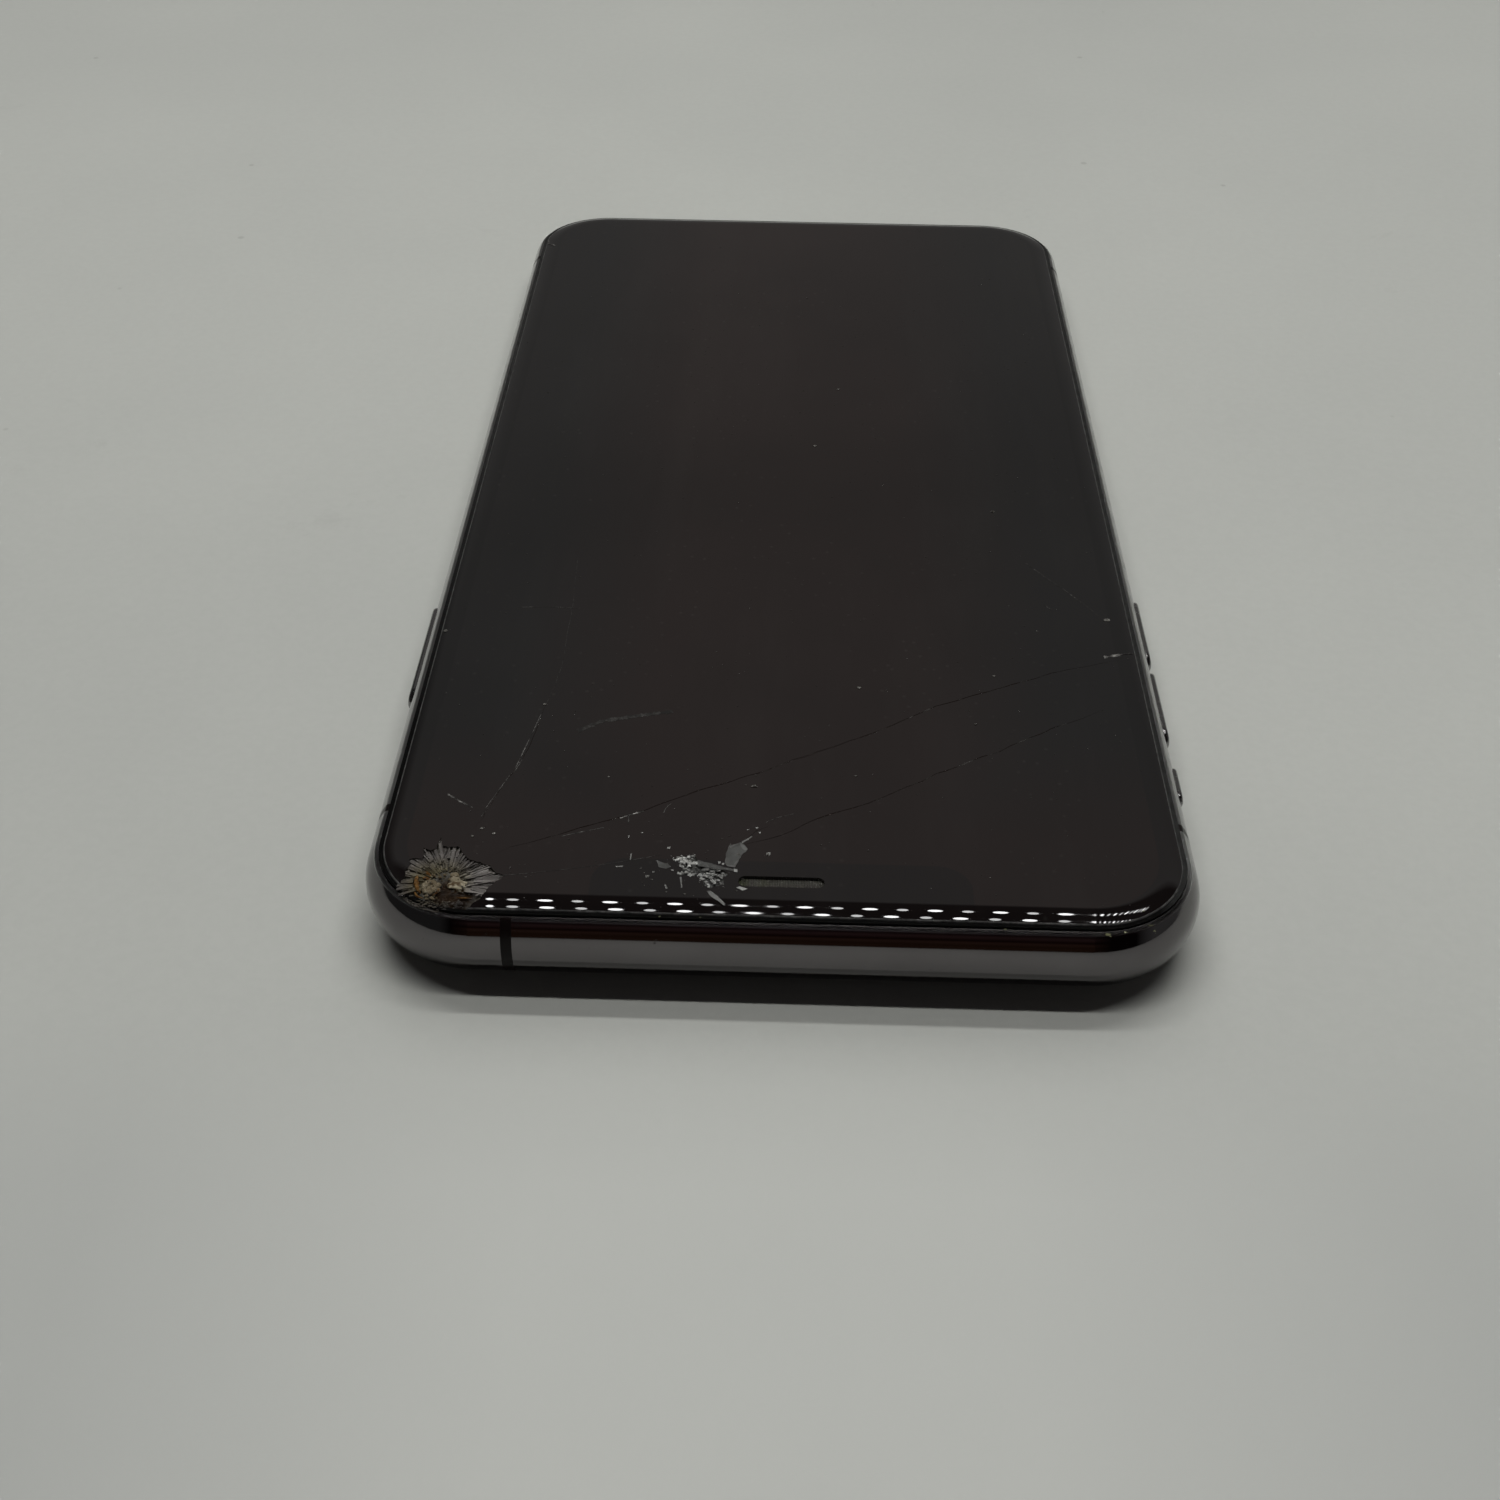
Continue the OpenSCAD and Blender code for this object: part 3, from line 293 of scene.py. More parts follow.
def make_floor():
    rise = FAR_FOOT_Z / (FAR_FOOT_Y - BUMP_FOOT_Y)
    mesh = bpy.data.meshes.new("floor")
    mesh.from_pydata([(x * FLOOR_HALF, y * FLOOR_HALF, (y * FLOOR_HALF - BUMP_FOOT_Y * MM) * rise)
                      for x, y in ((-1, -1), (1, -1), (1, 1), (-1, 1))], [], [(0, 1, 2, 3)])
    graph = Graph("floor")
    patches = graph.span(graph.noise(5.0, 4.0, 0.6), 0.35, 0.7)
    scuff = graph.span(graph.noise(28.0, 6.0, 0.7, distort=0.6), 0.66, 0.78)
    grain = graph.span(graph.noise(900.0, 2.0, 0.6), 0.35, 0.65)
    dust = graph.span(graph.cells(55.0), 0.035, 0.02)
    color = graph.mix(patches, (0.44, 0.45, 0.425), (0.485, 0.495, 0.465))
    for marks, share, tone in ((scuff, 0.22, (0.24, 0.23, 0.22)), (grain, 0.06, (0.30, 0.30, 0.29)),
                               (dust, 0.35, (0.22, 0.21, 0.20))):
        color = graph.mix(graph.times(marks, share), color, tone)
    x, y, _ = graph.axes()
    # Painted light: in front of the phone the floor is painted paler in the middle and darker towards the
    # sides, a pool of light
    painted_light_pool = graph.mix(patches, (0.495, 0.505, 0.48), (0.53, 0.54, 0.51))
    painted_light_pool = graph.mix(graph.span(graph.math("ABSOLUTE", x), 0.02, 0.055), painted_light_pool, (0.43, 0.44, 0.42))
    color = graph.mix(graph.span(y, 0.08, 0.1), color, painted_light_pool)
    graph.made(Base_Color=color, Roughness=0.75)
    new_object("floor", mesh, graph.material)


def make_lamp_rows():
    """The two rows of small lamps that show in the rolled edge of the glass; every second lamp is dimmer."""
    verts, faces = [], []
    for degrees, spread in LAMP_ROWS:
        centre = overhead(degrees, LAMP_DISTANCE * MM) / MM
        along = (Vector((0, HALF_L, 0)) - centre).normalized().cross(Vector((1, 0, 0)))
        for i in range(LAMP_COUNT):
            x = LAMP_FIRST_X - (LAMP_FIRST_GAP + (i - 1) * LAMP_PITCH * spread if i else 0)
            half = LAMP_NARROW if i % 2 else LAMP_WIDE if i else LAMP_FIRST
            faces.append(list(range(len(verts), len(verts) + LAMP_POINTS)))
            verts += [centre + Vector((x + half * math.cos(a), 0, 0)) + along * LAMP_LONG * math.sin(a)
                      for a in (k * math.tau / LAMP_POINTS for k in range(LAMP_POINTS))]
    shades = [0.5 if i % LAMP_COUNT % 2 else 1.0 for i in range(len(faces))]
    mesh = shaded_mesh("lamp_rows", verts, faces, shades)
    graph = Graph("lamp_rows")
    glow = graph.fill(graph.add("ShaderNodeEmission"), {"Strength": graph.times(graph.shade(), LAMP_GLOW)})
    graph.link(glow, graph.out.inputs[0])
    lamps = new_object("lamp_rows", mesh, graph.material)
    lamps.visible_camera = lamps.visible_diffuse = lamps.visible_shadow = False
    lamps.visible_transmission = lamps.visible_volume_scatter = False


# ---------------------------------------------------------------- shape helpers

def times(color, part):
    return tuple(min(1.0, c * part) for c in color)


def polar(centre, far, angle):
    return centre[0] + far * math.cos(angle), centre[1] + far * math.sin(angle)


def across(a, b):
    """Length of the step from a to b, and the unit direction across it."""
    length = math.hypot(b[0] - a[0], b[1] - a[1])
    return length, (a[1] - b[1]) / length, (b[0] - a[0]) / length


def across_at(path, i):
    """The unit direction across a path at its point i."""
    return across(path[max(0, i - 1)], path[min(len(path) - 1, i + 1)])[1:]


def stroke(a, b, half_a, half_b):
    """The four corners of a stroke from a to b, with its half width at both ends."""
    _, nx, ny = across(a, b)
    return [(p[0] + nx * half, p[1] + ny * half)
            for p, half in ((a, half_a), (a, -half_a), (b, -half_b), (b, half_b))]


def middle(points):
    return tuple(sum(p[i] for p in points) / len(points) for i in (0, 1))


def inset_at(x, y):
    """Distance inwards from the phone's widest line, and the outward direction there."""
    qx, qy = abs(x) - (HALF_W - CORNER_R), abs(y) - (HALF_L - CORNER_R)
    if qx > 0 and qy > 0:
        reach = math.hypot(qx, qy)
        return CORNER_R - reach, (math.copysign(qx / reach, x), math.copysign(qy / reach, y))
    if qx > qy:
        return CORNER_R - qx, (math.copysign(1.0, x), 0.0)
    return CORNER_R - qy, (0.0, math.copysign(1.0, y))


def rolled(x, y):
    """Height and normal of the undamaged glass."""
    inset, out = inset_at(x, y)
    past = min(max(GLASS_IN + ROLL_W - inset, 0.0), ROLL_W)
    lean = past / ROLL_R
    return TOP - ROLL_R + math.sqrt(ROLL_R ** 2 - past ** 2), Vector(
        (out[0] * lean, out[1] * lean, math.sqrt(1 - lean * lean)))


def outline(inset, step=1.6, arc=26):
    """Closed loop on the phone's outline, set in."""
    w, l, r = HALF_W - inset, HALF_L - inset, CORNER_R - inset
    loop = []
    for turn, centre in enumerate(((w - r, l - r), (r - w, l - r), (r - w, r - l), (w - r, r - l))):
        loop += [polar(centre, r, math.radians(90 * (turn + k / arc))) for k in range(arc + 1)]
        length = 2 * (l - r if turn % 2 else w - r)
        parts = max(1, round(length / step))
        loop += [polar(loop[-1], length * k / parts, math.radians(90 * (turn + 2))) for k in range(1, parts)]
    return loop


def rounded_box(half_w, half_l, r, arc=12):
    return [polar((sx * (half_w - r), sy * (half_l - r)), r, math.radians(90 * (turn + k / arc)))
            for turn, (sx, sy) in enumerate(((1, 1), (-1, 1), (-1, -1), (1, -1))) for k in range(arc + 1)]


def slot_loop(grow=0.0, arc=14):
    r, cx, cy = SLOT_W / 2 + grow, (SLOT_L - SLOT_W) / 2, HALF_L - SLOT_TOP
    return [polar((side * cx, cy), r, math.radians(start + 180 * k / arc))
            for side, start in ((1, -90), (-1, 90)) for k in range(arc + 1)]


def sides(loop):
    """The sides of a closed loop, as pairs of points."""
    return zip(loop, loop[1:] + loop[:1])


def jagged(points, seed, step=0.35, amount=0.07):
    """The closed loop with more points, each moved a little."""
    pick = random.Random(seed)
    loop = []
    for (ax, ay), (bx, by) in sides(points):
        parts = max(1, round(math.hypot(bx - ax, by - ay) / step))
        for k in range(parts):
            t = k / parts
            loop.append((ax + (bx - ax) * t + pick.uniform(-amount, amount),
                         ay + (by - ay) * t + pick.uniform(-amount, amount)))
    return loop


def wander(points, seed, step=0.9, amount=0.16):
    """A run of points with the small waves of a crack."""
    pick = random.Random(seed)
    path = []
    for (ax, ay), (bx, by) in zip(points, points[1:]):
        length, nx, ny = across((ax, ay), (bx, by))
        parts = max(1, round(length / step))
        for k in range(parts):
            t = k / parts
            off = noise.noise((ax + t * length * 0.22, ay * 0.3, seed)) * 1.6 + pick.uniform(-0.22, 0.22)
            off *= amount * min(1.0, 4 * t + 0.15, 4 * (1 - t) + 0.15)
            path.append((ax + (bx - ax) * t + nx * off, ay + (by - ay) * t + ny * off))
    path.append(points[-1])
    return path


def inside(point, loop):
    x, y = point
    hit = False
    for (ax, ay), (bx, by) in sides(loop):
        if (ay > y) != (by > y) and x < (bx - ax) * (y - ay) / (by - ay) + ax:
            hit = not hit
    return hit


class Crack:
    """A V-shaped groove along a path; its half width changes along it."""

    def __init__(self, points, seed, wide, narrow, depth):
        self.path, self.depth = wander(points, seed), depth
        pick = random.Random(seed + 50)
        self.half = []
        for i in range(len(self.path)):
            t = i / (len(self.path) - 1)
            ends = min(1.0, 0.25 + 6 * t, 0.1 + 6 * (1 - t))
            self.half.append((wide + (narrow - wide) * t) / 2 * pick.uniform(0.55, 1.2) * ends)

    def edge(self, side):
        return [(x + side * half * nx, y + side * half * ny) for (x, y), half, (nx, ny) in
                zip(self.path, self.half, (across_at(self.path, i) for i in range(len(self.path))))]

    def share(self, x, y):
        """1 on the groove's bottom line, 0 at its edges, below 0 outside."""
        best = -1.0
        for i, ((ax, ay), (bx, by)) in enumerate(zip(self.path, self.path[1:])):
            if min(ax, bx) - 0.5 < x < max(ax, bx) + 0.5 and min(ay, by) - 0.5 < y < max(ay, by) + 0.5:
                dx, dy = bx - ax, by - ay
                t = min(1.0, max(0.0, ((x - ax) * dx + (y - ay) * dy) / (dx * dx + dy * dy)))
                half = self.half[i] + (self.half[i + 1] - self.half[i]) * t
                best = max(best, 1 - math.hypot(x - ax - dx * t, y - ay - dy * t) / half)
        return best


def shaded_mesh(name, verts, faces, shades=None, smooth=False, kinds=None, normals=None):
    """A mesh in millimetres, with a brightness and a material for each face and a normal for each corner."""
    mesh = bpy.data.meshes.new(name)
    mesh.from_pydata([(x * MM, y * MM, z * MM) for x, y, z in verts], [], faces)
    mesh.polygons.foreach_set("use_smooth", [smooth and len(face) <= 4 for face in faces])
    if shades:
        layer = mesh.attributes.new("shade", "FLOAT", "CORNER")
        layer.data.foreach_set("value", [s for face, s in zip(mesh.polygons, shades) for _ in face.vertices])
    if kinds:
        mesh.polygons.foreach_set("material_index", kinds)
    if normals:
        mesh.normals_split_custom_set(normals)
    mesh.validate()
    mesh.update()
    return mesh


def bmesh_to_mesh(name, bm):
    """The smooth mesh of a bmesh, which is freed."""
    mesh = bpy.data.meshes.new(name)
    bm.to_mesh(mesh)
    bm.free()
    mesh.polygons.foreach_set("use_smooth", [True] * len(mesh.polygons))
    return mesh


def cut_sheet(points, edges, keep):
    """A flat sheet of triangles between those points; keep says which ones stay, by their middle."""
    flat, _, tris, *_ = delaunay_2d_cdt(points, edges, [], 0, 1e-4, False)
    kept = []
    for tri in tris:
        a, b, c = (flat[i] for i in tri)
        if keep(*middle((a, b, c))):
            kept.append(list(tri) if (b - a).cross(c - a) > 0 else list(tri)[::-1])
    return flat, kept


# ---------------------------------------------------------------- cover glass

ACTIVE, BORDER, BROKEN, EDGE, WALL = range(5)
NOTCH_DEEP = 10
GLASS_RINGS = (LIP, 0.3, 0.5, 0.8, 1.1, 1.4, 1.7, ROLL_W)
CRACKS = (
    # path, seed, width at the start and the end, depth
    (CRACK_LONG, 3, 0.14, 0.11, 0.05), (CRACK_SHORT, 8, 0.12, 0.09, 0.05), (CRACK_DOWN, 5, 0.09, 0.06, 0.04),
    (CRACK_TAIL, 15, 0.09, 0.05, 0.04),
)
# How far each step of the rim goes outwards and down; the last one goes to a height
LIP_STEPS = ((LIP * 0.7, -LIP * 0.4, "lip"), (LIP, -LIP, "side"), (LIP, GLASS_LOW.z, "low"))


def glass_plan():
    """The sheet's flat triangles, with the material of each and the cracks that cross it."""
    cracks = [Crack(*sizes) for sizes in CRACKS]
    craters = [jagged(CORNER_EDGE, 21), jagged(SLOT_EDGE, 22, 0.3, 0.03)]
    slot = slot_loop()
    active = rounded_box(ACTIVE_X, ACTIVE_Y, ACTIVE_R)
    notch = [(x, y + NOTCH_LOW + NOTCH_DEEP) for x, y in rounded_box(NOTCH_HALF, NOTCH_DEEP, NOTCH_R)]
    loops = [outline(GLASS_IN + inset) for inset in GLASS_RINGS] + craters + [slot, active, notch]
    lines = [line for crack in cracks for line in (crack.edge(1), crack.path, crack.edge(-1))]
    points, edges = [], []
    for path, closed in [(loop, 1) for loop in loops] + [(line, 0) for line in lines]:
        first, n = len(points), len(path)
        points += [Vector(p) for p in path]
        edges += [(first + i, first + (i + 1) % n) for i in range(n - 1 + closed)]

    def keep(x, y):
        open_there = any(inside((x, y), loop) for loop in [slot] + craters)
        return inset_at(x, y)[0] >= GLASS_IN + LIP - 0.01 and not open_there

    def kind(x, y):
        if any(crack.share(x, y) > 0 for crack in cracks):
            return BROKEN
        return ACTIVE if inside((x, y), active) and not inside((x, y), notch) else BORDER

    flat, kept = cut_sheet(points, edges, keep)
    return flat, kept, [kind(*middle([flat[i] for i in tri])) for tri in kept], cracks


def lean_out(point, up):
    """The outward direction at a point of the edge, leaning up."""
    return Vector((*inset_at(point[0], point[1])[1], up)).normalized()


def build_cover_glass():
    """The sheet with its rolled edge, slot, craters and open cracks."""
    flat, kept, kinds, cracks = glass_plan()
    used = sorted({i for tri in kept for i in tri})
    number = {old: new for new, old in enumerate(used)}
    verts, normals = [], []
    for x, y in (flat[i] for i in used):
        z, normal = rolled(x, y)
        z -= sum(crack.depth * min(1.0, max(0.0, crack.share(x, y))) for crack in cracks)
        verts.append((x, y, z))
        normals.append(normal)
    faces = [[number[i] for i in tri] for tri in kept]
    corner_normals = []
    for face, kind in zip(faces, kinds):
        a, b, c = (Vector(verts[i]) for i in face)
        broken = [(b - a).cross(c - a).normalized()] * 3
        corner_normals += broken if kind == BROKEN else [normals[i] for i in face]

    # Walls: a rounded lip and a side at the rim, broken walls at the craters, a plain wall in the slot
    seen = dict.fromkeys(side for face in faces for side in sides(face))
    pick = random.Random(31)
    lowered = {}

    def lower(i, out, down, key):
        if (i, key) not in lowered:
            x, y, z = verts[i]
            nx, ny = inset_at(x, y)[1]
            lowered[(i, key)] = len(verts)
            verts.append((x + nx * out, y + ny * out, down if down > 0 else z + down))
        return lowered[(i, key)]

    for a, b in [side for side in seen if side[::-1] not in seen]:
        x, y = middle((verts[a], verts[b]))
        at_edge = inset_at(x, y)[0] < GLASS_IN + LIP + 0.02
        in_slot = inside((x, y), slot_loop(0.05))
        steps = LIP_STEPS if at_edge else ((0, -0.6, "slot"),) if in_slot else (
            (0, -CRATER_DEPTH - pick.uniform(0, 0.05), "wall"),)
        ends, ends_up = (a, b), [normals[i] if i < len(normals) else None for i in (a, b)]
        for out, down, key in steps:
            low = (lower(a, out, down, key), lower(b, out, down, key))
            faces.append([ends[0], low[0], low[1], ends[1]])
            kinds.append(EDGE if at_edge else BORDER if in_slot else WALL)
            if at_edge:
                low_up = [lean_out(verts[i], 0.7 if key == "lip" else 0.0) for i in low]
            else:
                p = [Vector(verts[i]) for i in faces[-1]]
                ends_up = low_up = [(p[1] - p[0]).cross(p[3] - p[0]).normalized()] * 2
            corner_normals += [ends_up[0], low_up[0], low_up[1], ends_up[1]]
            ends, ends_up = low, low_up
    return shaded_mesh("cover_glass_sheet", verts, faces, None, True, kinds, corner_normals)


def glass_graph(name, color, film, warm=None):
    """Dark glossy glass with grease, wiped streaks and dust; warm is its tone in the middle and near +Y."""
    graph = Graph(name)
    grease = graph.noise(55.0, 5.0, 0.62, distort=0.8)
    wiped = graph.noise(30.0, 4.0, 0.6, at=graph.stretched((4.0, 0.6, 1.0)))
    dust = graph.span(graph.cells(620.0), 0.16, 0.05)
    patch = graph.span(graph.noise(70.0, 2.0, 0.5), 0.45, 0.62)
    low, high = times(color, 0.85), times(color, 1.18)
    if warm:
        x, y, _ = graph.axes()
        inner = graph.span(graph.math("ABSOLUTE", x), 28 * MM, 13 * MM)
        inner = graph.math("MAXIMUM", inner, graph.span(y, 50 * MM, 66 * MM))
        low, high = (graph.mix(inner, tone, times(warm, part)) for tone, part in ((low, 0.85), (high, 1.18)))
    tone = graph.mix(graph.span(graph.noise(24.0, 3.0, 0.55), 0.38, 0.62), low, high)
    tone = graph.mix(graph.times(graph.times(dust, patch), 0.08), tone, (0.10, 0.095, 0.085))
    tone = graph.mix(graph.times(graph.span(wiped, 0.52, 0.75), film), tone, (0.05, 0.047, 0.043))
    rough = graph.span(grease, 0.5, 0.75, 0.012, 0.045)
    rough = graph.math("ADD", rough, graph.span(wiped, 0.55, 0.8, 0.0, 0.02))
    return graph.made(Base_Color=tone, Roughness=rough, IOR=1.5)


def broken_graph():
    """Walls of cracks and craters: mostly dark, with chalky places."""
    graph = Graph("broken_glass")
    chalk = graph.span(graph.noise(420.0, 4.0, 0.65), 0.5, 0.66)
    zone = graph.span(graph.noise(60.0, 2.0, 0.5), 0.46, 0.58)
    share = graph.times(chalk, zone)
    return graph.made(Base_Color=graph.mix(share, (0.012, 0.008, 0.0065), (0.10, 0.098, 0.092)),
              Roughness=graph.blend(share, 0.25, 0.5), IOR=1.5)


def ground_graph(name, low, high):
    """Ground or powdered glass, with paler grains."""
    graph = Graph(name)
    grain = graph.noise(1500.0, 5.0, 0.7)
    patch = graph.noise(300.0, 3.0, 0.6)
    share = graph.times(graph.span(grain, 0.35, 0.65), graph.span(patch, 0.3, 0.6, 0.3, 1.0))
    rough = graph.span(grain, 0.3, 0.7, 0.35, 0.6)
    return graph.made(grain, 0.00003, 0.4, Base_Color=graph.mix(share, low, high), Roughness=rough, IOR=1.5,
                      Specular_IOR_Level=0.4)


# ---------------------------------------------------------------- crushed glass

class Chips:
    """Gathers many small solid pieces into one mesh. Sizes are in millimetres."""

    def __init__(self):
        self.verts, self.faces, self.shades = [], [], []

    def slab(self, loop, z, thick, bright, lean=(0.0, 0.0), under=None):
        """A flat chip with that outline; its top is at z in the middle, leans, and stays under the glass."""
        n, first = len(loop), len(self.verts)
        cx, cy = middle(loop)
        top = [z + (x - cx) * lean[0] + (y - cy) * lean[1] for x, y in loop]
        if under is not None:
            top = [min(t, rolled(x, y)[0] - under) for t, (x, y) in zip(top, loop)]
        for drop in (0, thick):
            self.verts += [(x, y, t - drop) for (x, y), t in zip(loop, top)]
        area = sum(a[0] * b[1] - b[0] * a[1] for a, b in sides(loop))
        ring = list(range(first, first + n))[::1 if area > 0 else -1]
        self._face(ring, bright)
        # Painted shade: each chip's underside gets 0.8 and its sides 0.9 of the top's brightness
        self._face([i + n for i in reversed(ring)], bright * 0.8)
        for a, b in sides(ring):
            self._face([a, a + n, b + n, b], bright * 0.9)

    def lump(self, pick, place, size, bright, points=9):
        """A small faceted stone, the hull of a few points."""
        bm = bmesh.new()
        for _ in range(points):
            v = Vector([pick.gauss(0, 1) for _ in range(3)]).normalized() * pick.uniform(0.75, 1)
            bm.verts.new([at + part * half for at, part, half in zip(place, v, size)])
        hull = bmesh.ops.convex_hull(bm, input=bm.verts)
        spare = list(set(hull["geom_interior"] + hull["geom_unused"]))
        bmesh.ops.delete(bm, geom=spare, context="VERTS")
        bm.verts.index_update()
        first = len(self.verts)
        self.verts += [tuple(v.co) for v in bm.verts]
        for face in bm.faces:
            self._face([first + v.index for v in face.verts], bright * pick.uniform(0.85, 1.15))
        bm.free()

    def _face(self, ring, bright):
        self.faces.append(ring)
        self.shades.append(bright)

    def mesh(self, name):
        return shaded_mesh(name, self.verts, self.faces, self.shades)


def reach_to(loop, centre, degrees):
    """Distance from centre to the loop in that direction."""
    dx, dy = polar((0, 0), 1, math.radians(degrees))
    best = 0.0
    for (ax, ay), (bx, by) in sides(loop):
        ex, ey = bx - ax, by - ay
        det = dx * ey - dy * ex
        if abs(det) > 1e-9:
            t = ((ax - centre[0]) * ey - (ay - centre[1]) * ex) / det
            s = ((ax - centre[0]) * dy - (ay - centre[1]) * dx) / det
            if t > 0 and 0 <= s <= 1:
                best = max(best, t)
    return best


# The fan of needles: its angles in degrees, and the angle up to which they are longer and brighter
FAN_FROM, FAN_TO, FAN_BRIGHT, FAN_WIDE, FAN_DULL = 150.0, 385.0, 216, 310, 335
CORNER_STROKES = (
    # two ends, width, brightness
    ((28.3, 74.8), (26.3, 75.2), 0.3, 1.0), ((28.2, 74.2), (25.5, 73.3), 0.16, 0.85),
    ((28.4, 72.4), (26.6, 71.3), 0.16, 0.6), ((28.4, 73.2), (26.1, 72.3), 0.2, 0.55),
    ((29.0, 72.0), (27.6, 71.1), 0.14, 0.45), ((27.2, 75.4), (26.7, 75.1), 0.2, 0.7),
    ((32.2, 70.6), (32.7, 69.3), 0.14, 0.3), ((30.9, 71.0), (30.7, 69.1), 0.1, 0.3),
)
CORNER_LUMPS = (
    # x, y, half size, brightness
    (29.2, 69.75, 0.2, 1.0), (33.2, 72.9, 0.24, 0.75), (33.75, 72.4, 0.26, 0.45), (32.9, 73.0, 0.12, 0.6),
    (30.5, 72.0, 0.22, 0.6), (30.1, 71.7, 0.16, 0.6), (28.9, 71.9, 0.15, 0.5), (34.0, 73.9, 0.28, 0.35),
    (33.4, 74.4, 0.3, 0.25), (33.8, 74.8, 0.2, 0.4), (33.1, 75.2, 0.22, 0.25),
)
GRAIN_COUNT, EDGE_GRAIN_COUNT, EDGE_GRAIN_X, EDGE_GRAIN_Y = 420, 70, (28.2, 33.0), 76.3


def add_needles(pick, chips):
    """Three layers of needles that fan out from the corner impact."""
    for layer in range(3):
        angle = FAN_FROM + layer
        while angle < FAN_TO:
            bright_side = angle < FAN_BRIGHT
            width = pick.uniform(3.5, 11.0) if bright_side or angle > FAN_WIDE else pick.uniform(2.2, 7.5)
            mid, half = math.radians(angle + width / 2), math.radians(width / 2) * 0.92
            reach = reach_to(CORNER_EDGE, CORNER_HIT, angle + width / 2)
            start = reach * (pick.uniform(0.3, 0.5) if layer else pick.uniform(0.45, 0.75))
            end = reach * pick.uniform(0.85, 1.04) if layer else reach * 1.03
            if bright_side:
                start = max(start, 1.35)
            taper = pick.uniform(0.15, 0.9)
            bright = pick.uniform(0.45, 1.0) if bright_side else pick.uniform(0.22, 0.62)
            if angle > FAN_DULL:
                bright = pick.uniform(0.2, 0.5)
            loop = [polar(CORNER_HIT, far, mid + turn) for far, turn in (
                (start, -half), (end, -half * taper), (end * 1.02, half * taper), (start, half))]
            tilt = pick.uniform(-0.35, 0.35)
            lean = (-math.sin(mid) * tilt, math.cos(mid) * tilt)
            z = TOP - pick.uniform(0.04, 0.16) - 0.08 * layer
            chips.slab(loop, z, pick.uniform(0.06, 0.16), bright, lean, 0.02)
            angle += width * pick.uniform(0.8, 1.6)


def build_corner_shards():
    """Needles of crushed glass at the corner, with brighter strokes, lumps and powder between them."""
    pick = random.Random(41)
    chips = Chips()
    add_needles(pick, chips)
    for a, b, wide, bright in CORNER_STROKES:
        loop = jagged(stroke(a, b, wide / 2, wide / 4), int(a[0] * 9), 0.3, 0.03)
        chips.slab(loop, TOP - 0.03, 0.12, bright, under=0.005)
    for _ in range(GRAIN_COUNT):
        degrees = pick.uniform(0, 360)
        far = reach_to(CORNER_EDGE, CORNER_HIT, degrees) * math.sqrt(pick.uniform(0.01, 0.92))
        x, y = polar(CORNER_HIT, far, math.radians(degrees))
        if not inside((x, y), TORN):
            size = pick.uniform(0.05, 0.17)
            chips.lump(pick, (x, y, rolled(x, y)[0] - 0.1 - pick.uniform(0, 0.14) - size * 0.5),
                       (size * pick.uniform(0.8, 1.5), size, size * 0.6), pick.uniform(0.15, 0.8), 7)
    for x, y, size, bright in CORNER_LUMPS:
        chips.lump(pick, (x, y, rolled(x, y)[0] - size * 0.5), (size, size * 0.8, size * 0.5), bright, 11)
    for _ in range(EDGE_GRAIN_COUNT):
        x, y = pick.uniform(*EDGE_GRAIN_X), EDGE_GRAIN_Y + pick.gauss(0, 0.18)
        size = pick.uniform(0.08, 0.24)
        chips.lump(pick, (x, y, rolled(x, y)[0] - size * 0.45), (size * 1.3, size * 0.8, size * 0.5),
                   pick.uniform(0.08, 0.34), 8)
    return chips.mesh("corner_crushed_glass")


SLOT_LUMPS = (
    # x, y, half size, brightness
    (9.86, 69.91, 0.34, 0.8), (9.42, 69.72, 0.42, 0.95), (8.97, 69.61, 0.4, 0.9), (8.72, 69.86, 0.46, 1),
    (8.18, 69.32, 0.3, 0.6), (8.5, 69.5, 0.26, 0.7), (7.91, 70.17, 0.46, 0.85), (8.24, 70.45, 0.4, 0.8),
    (9.08, 70.74, 0.34, 0.7), (9.3, 70.6, 0.22, 0.5), (8.49, 70.03, 0.36, 1), (9.1, 70.2, 0.3, 0.6),
    (9.3, 71.77, 0.3, 0.55), (9.02, 71.7, 0.34, 0.7), (8.64, 71.45, 0.3, 0.6), (8.28, 71.84, 0.34, 0.55),
    (7.95, 71.75, 0.24, 0.45), (7.32, 71.8, 0.28, 0.7), (6.92, 71.93, 0.3, 0.85), (6.59, 71.74, 0.33, 0.75),
    (6.14, 71.73, 0.3, 0.55), (5.57, 71.7, 0.33, 0.5), (5.1, 71.75, 0.25, 0.45), (7.12, 72.44, 0.22, 0.95),
    (7.2, 72.2, 0.19, 0.7), (6.64, 73.17, 0.22, 0.9), (6.51, 73.42, 0.19, 0.9), (6.15, 72.65, 0.25, 0.75),
    (5.97, 72.9, 0.2, 0.85), (5.4, 73.1, 0.2, 0.4), (5.7, 72.5, 0.25, 0.4), (5.4, 72.1, 0.25, 0.4),
    (6.4, 72.2, 0.25, 0.5), (6.75, 72.75, 0.18, 0.5), (6.9, 71.1, 0.35, 0.35), (6.3, 71.3, 0.33, 0.35),
    (7.4, 70.6, 0.28, 0.4), (5.7, 71.2, 0.28, 0.35),
)

SLOT_GRAIN_COUNT = 90
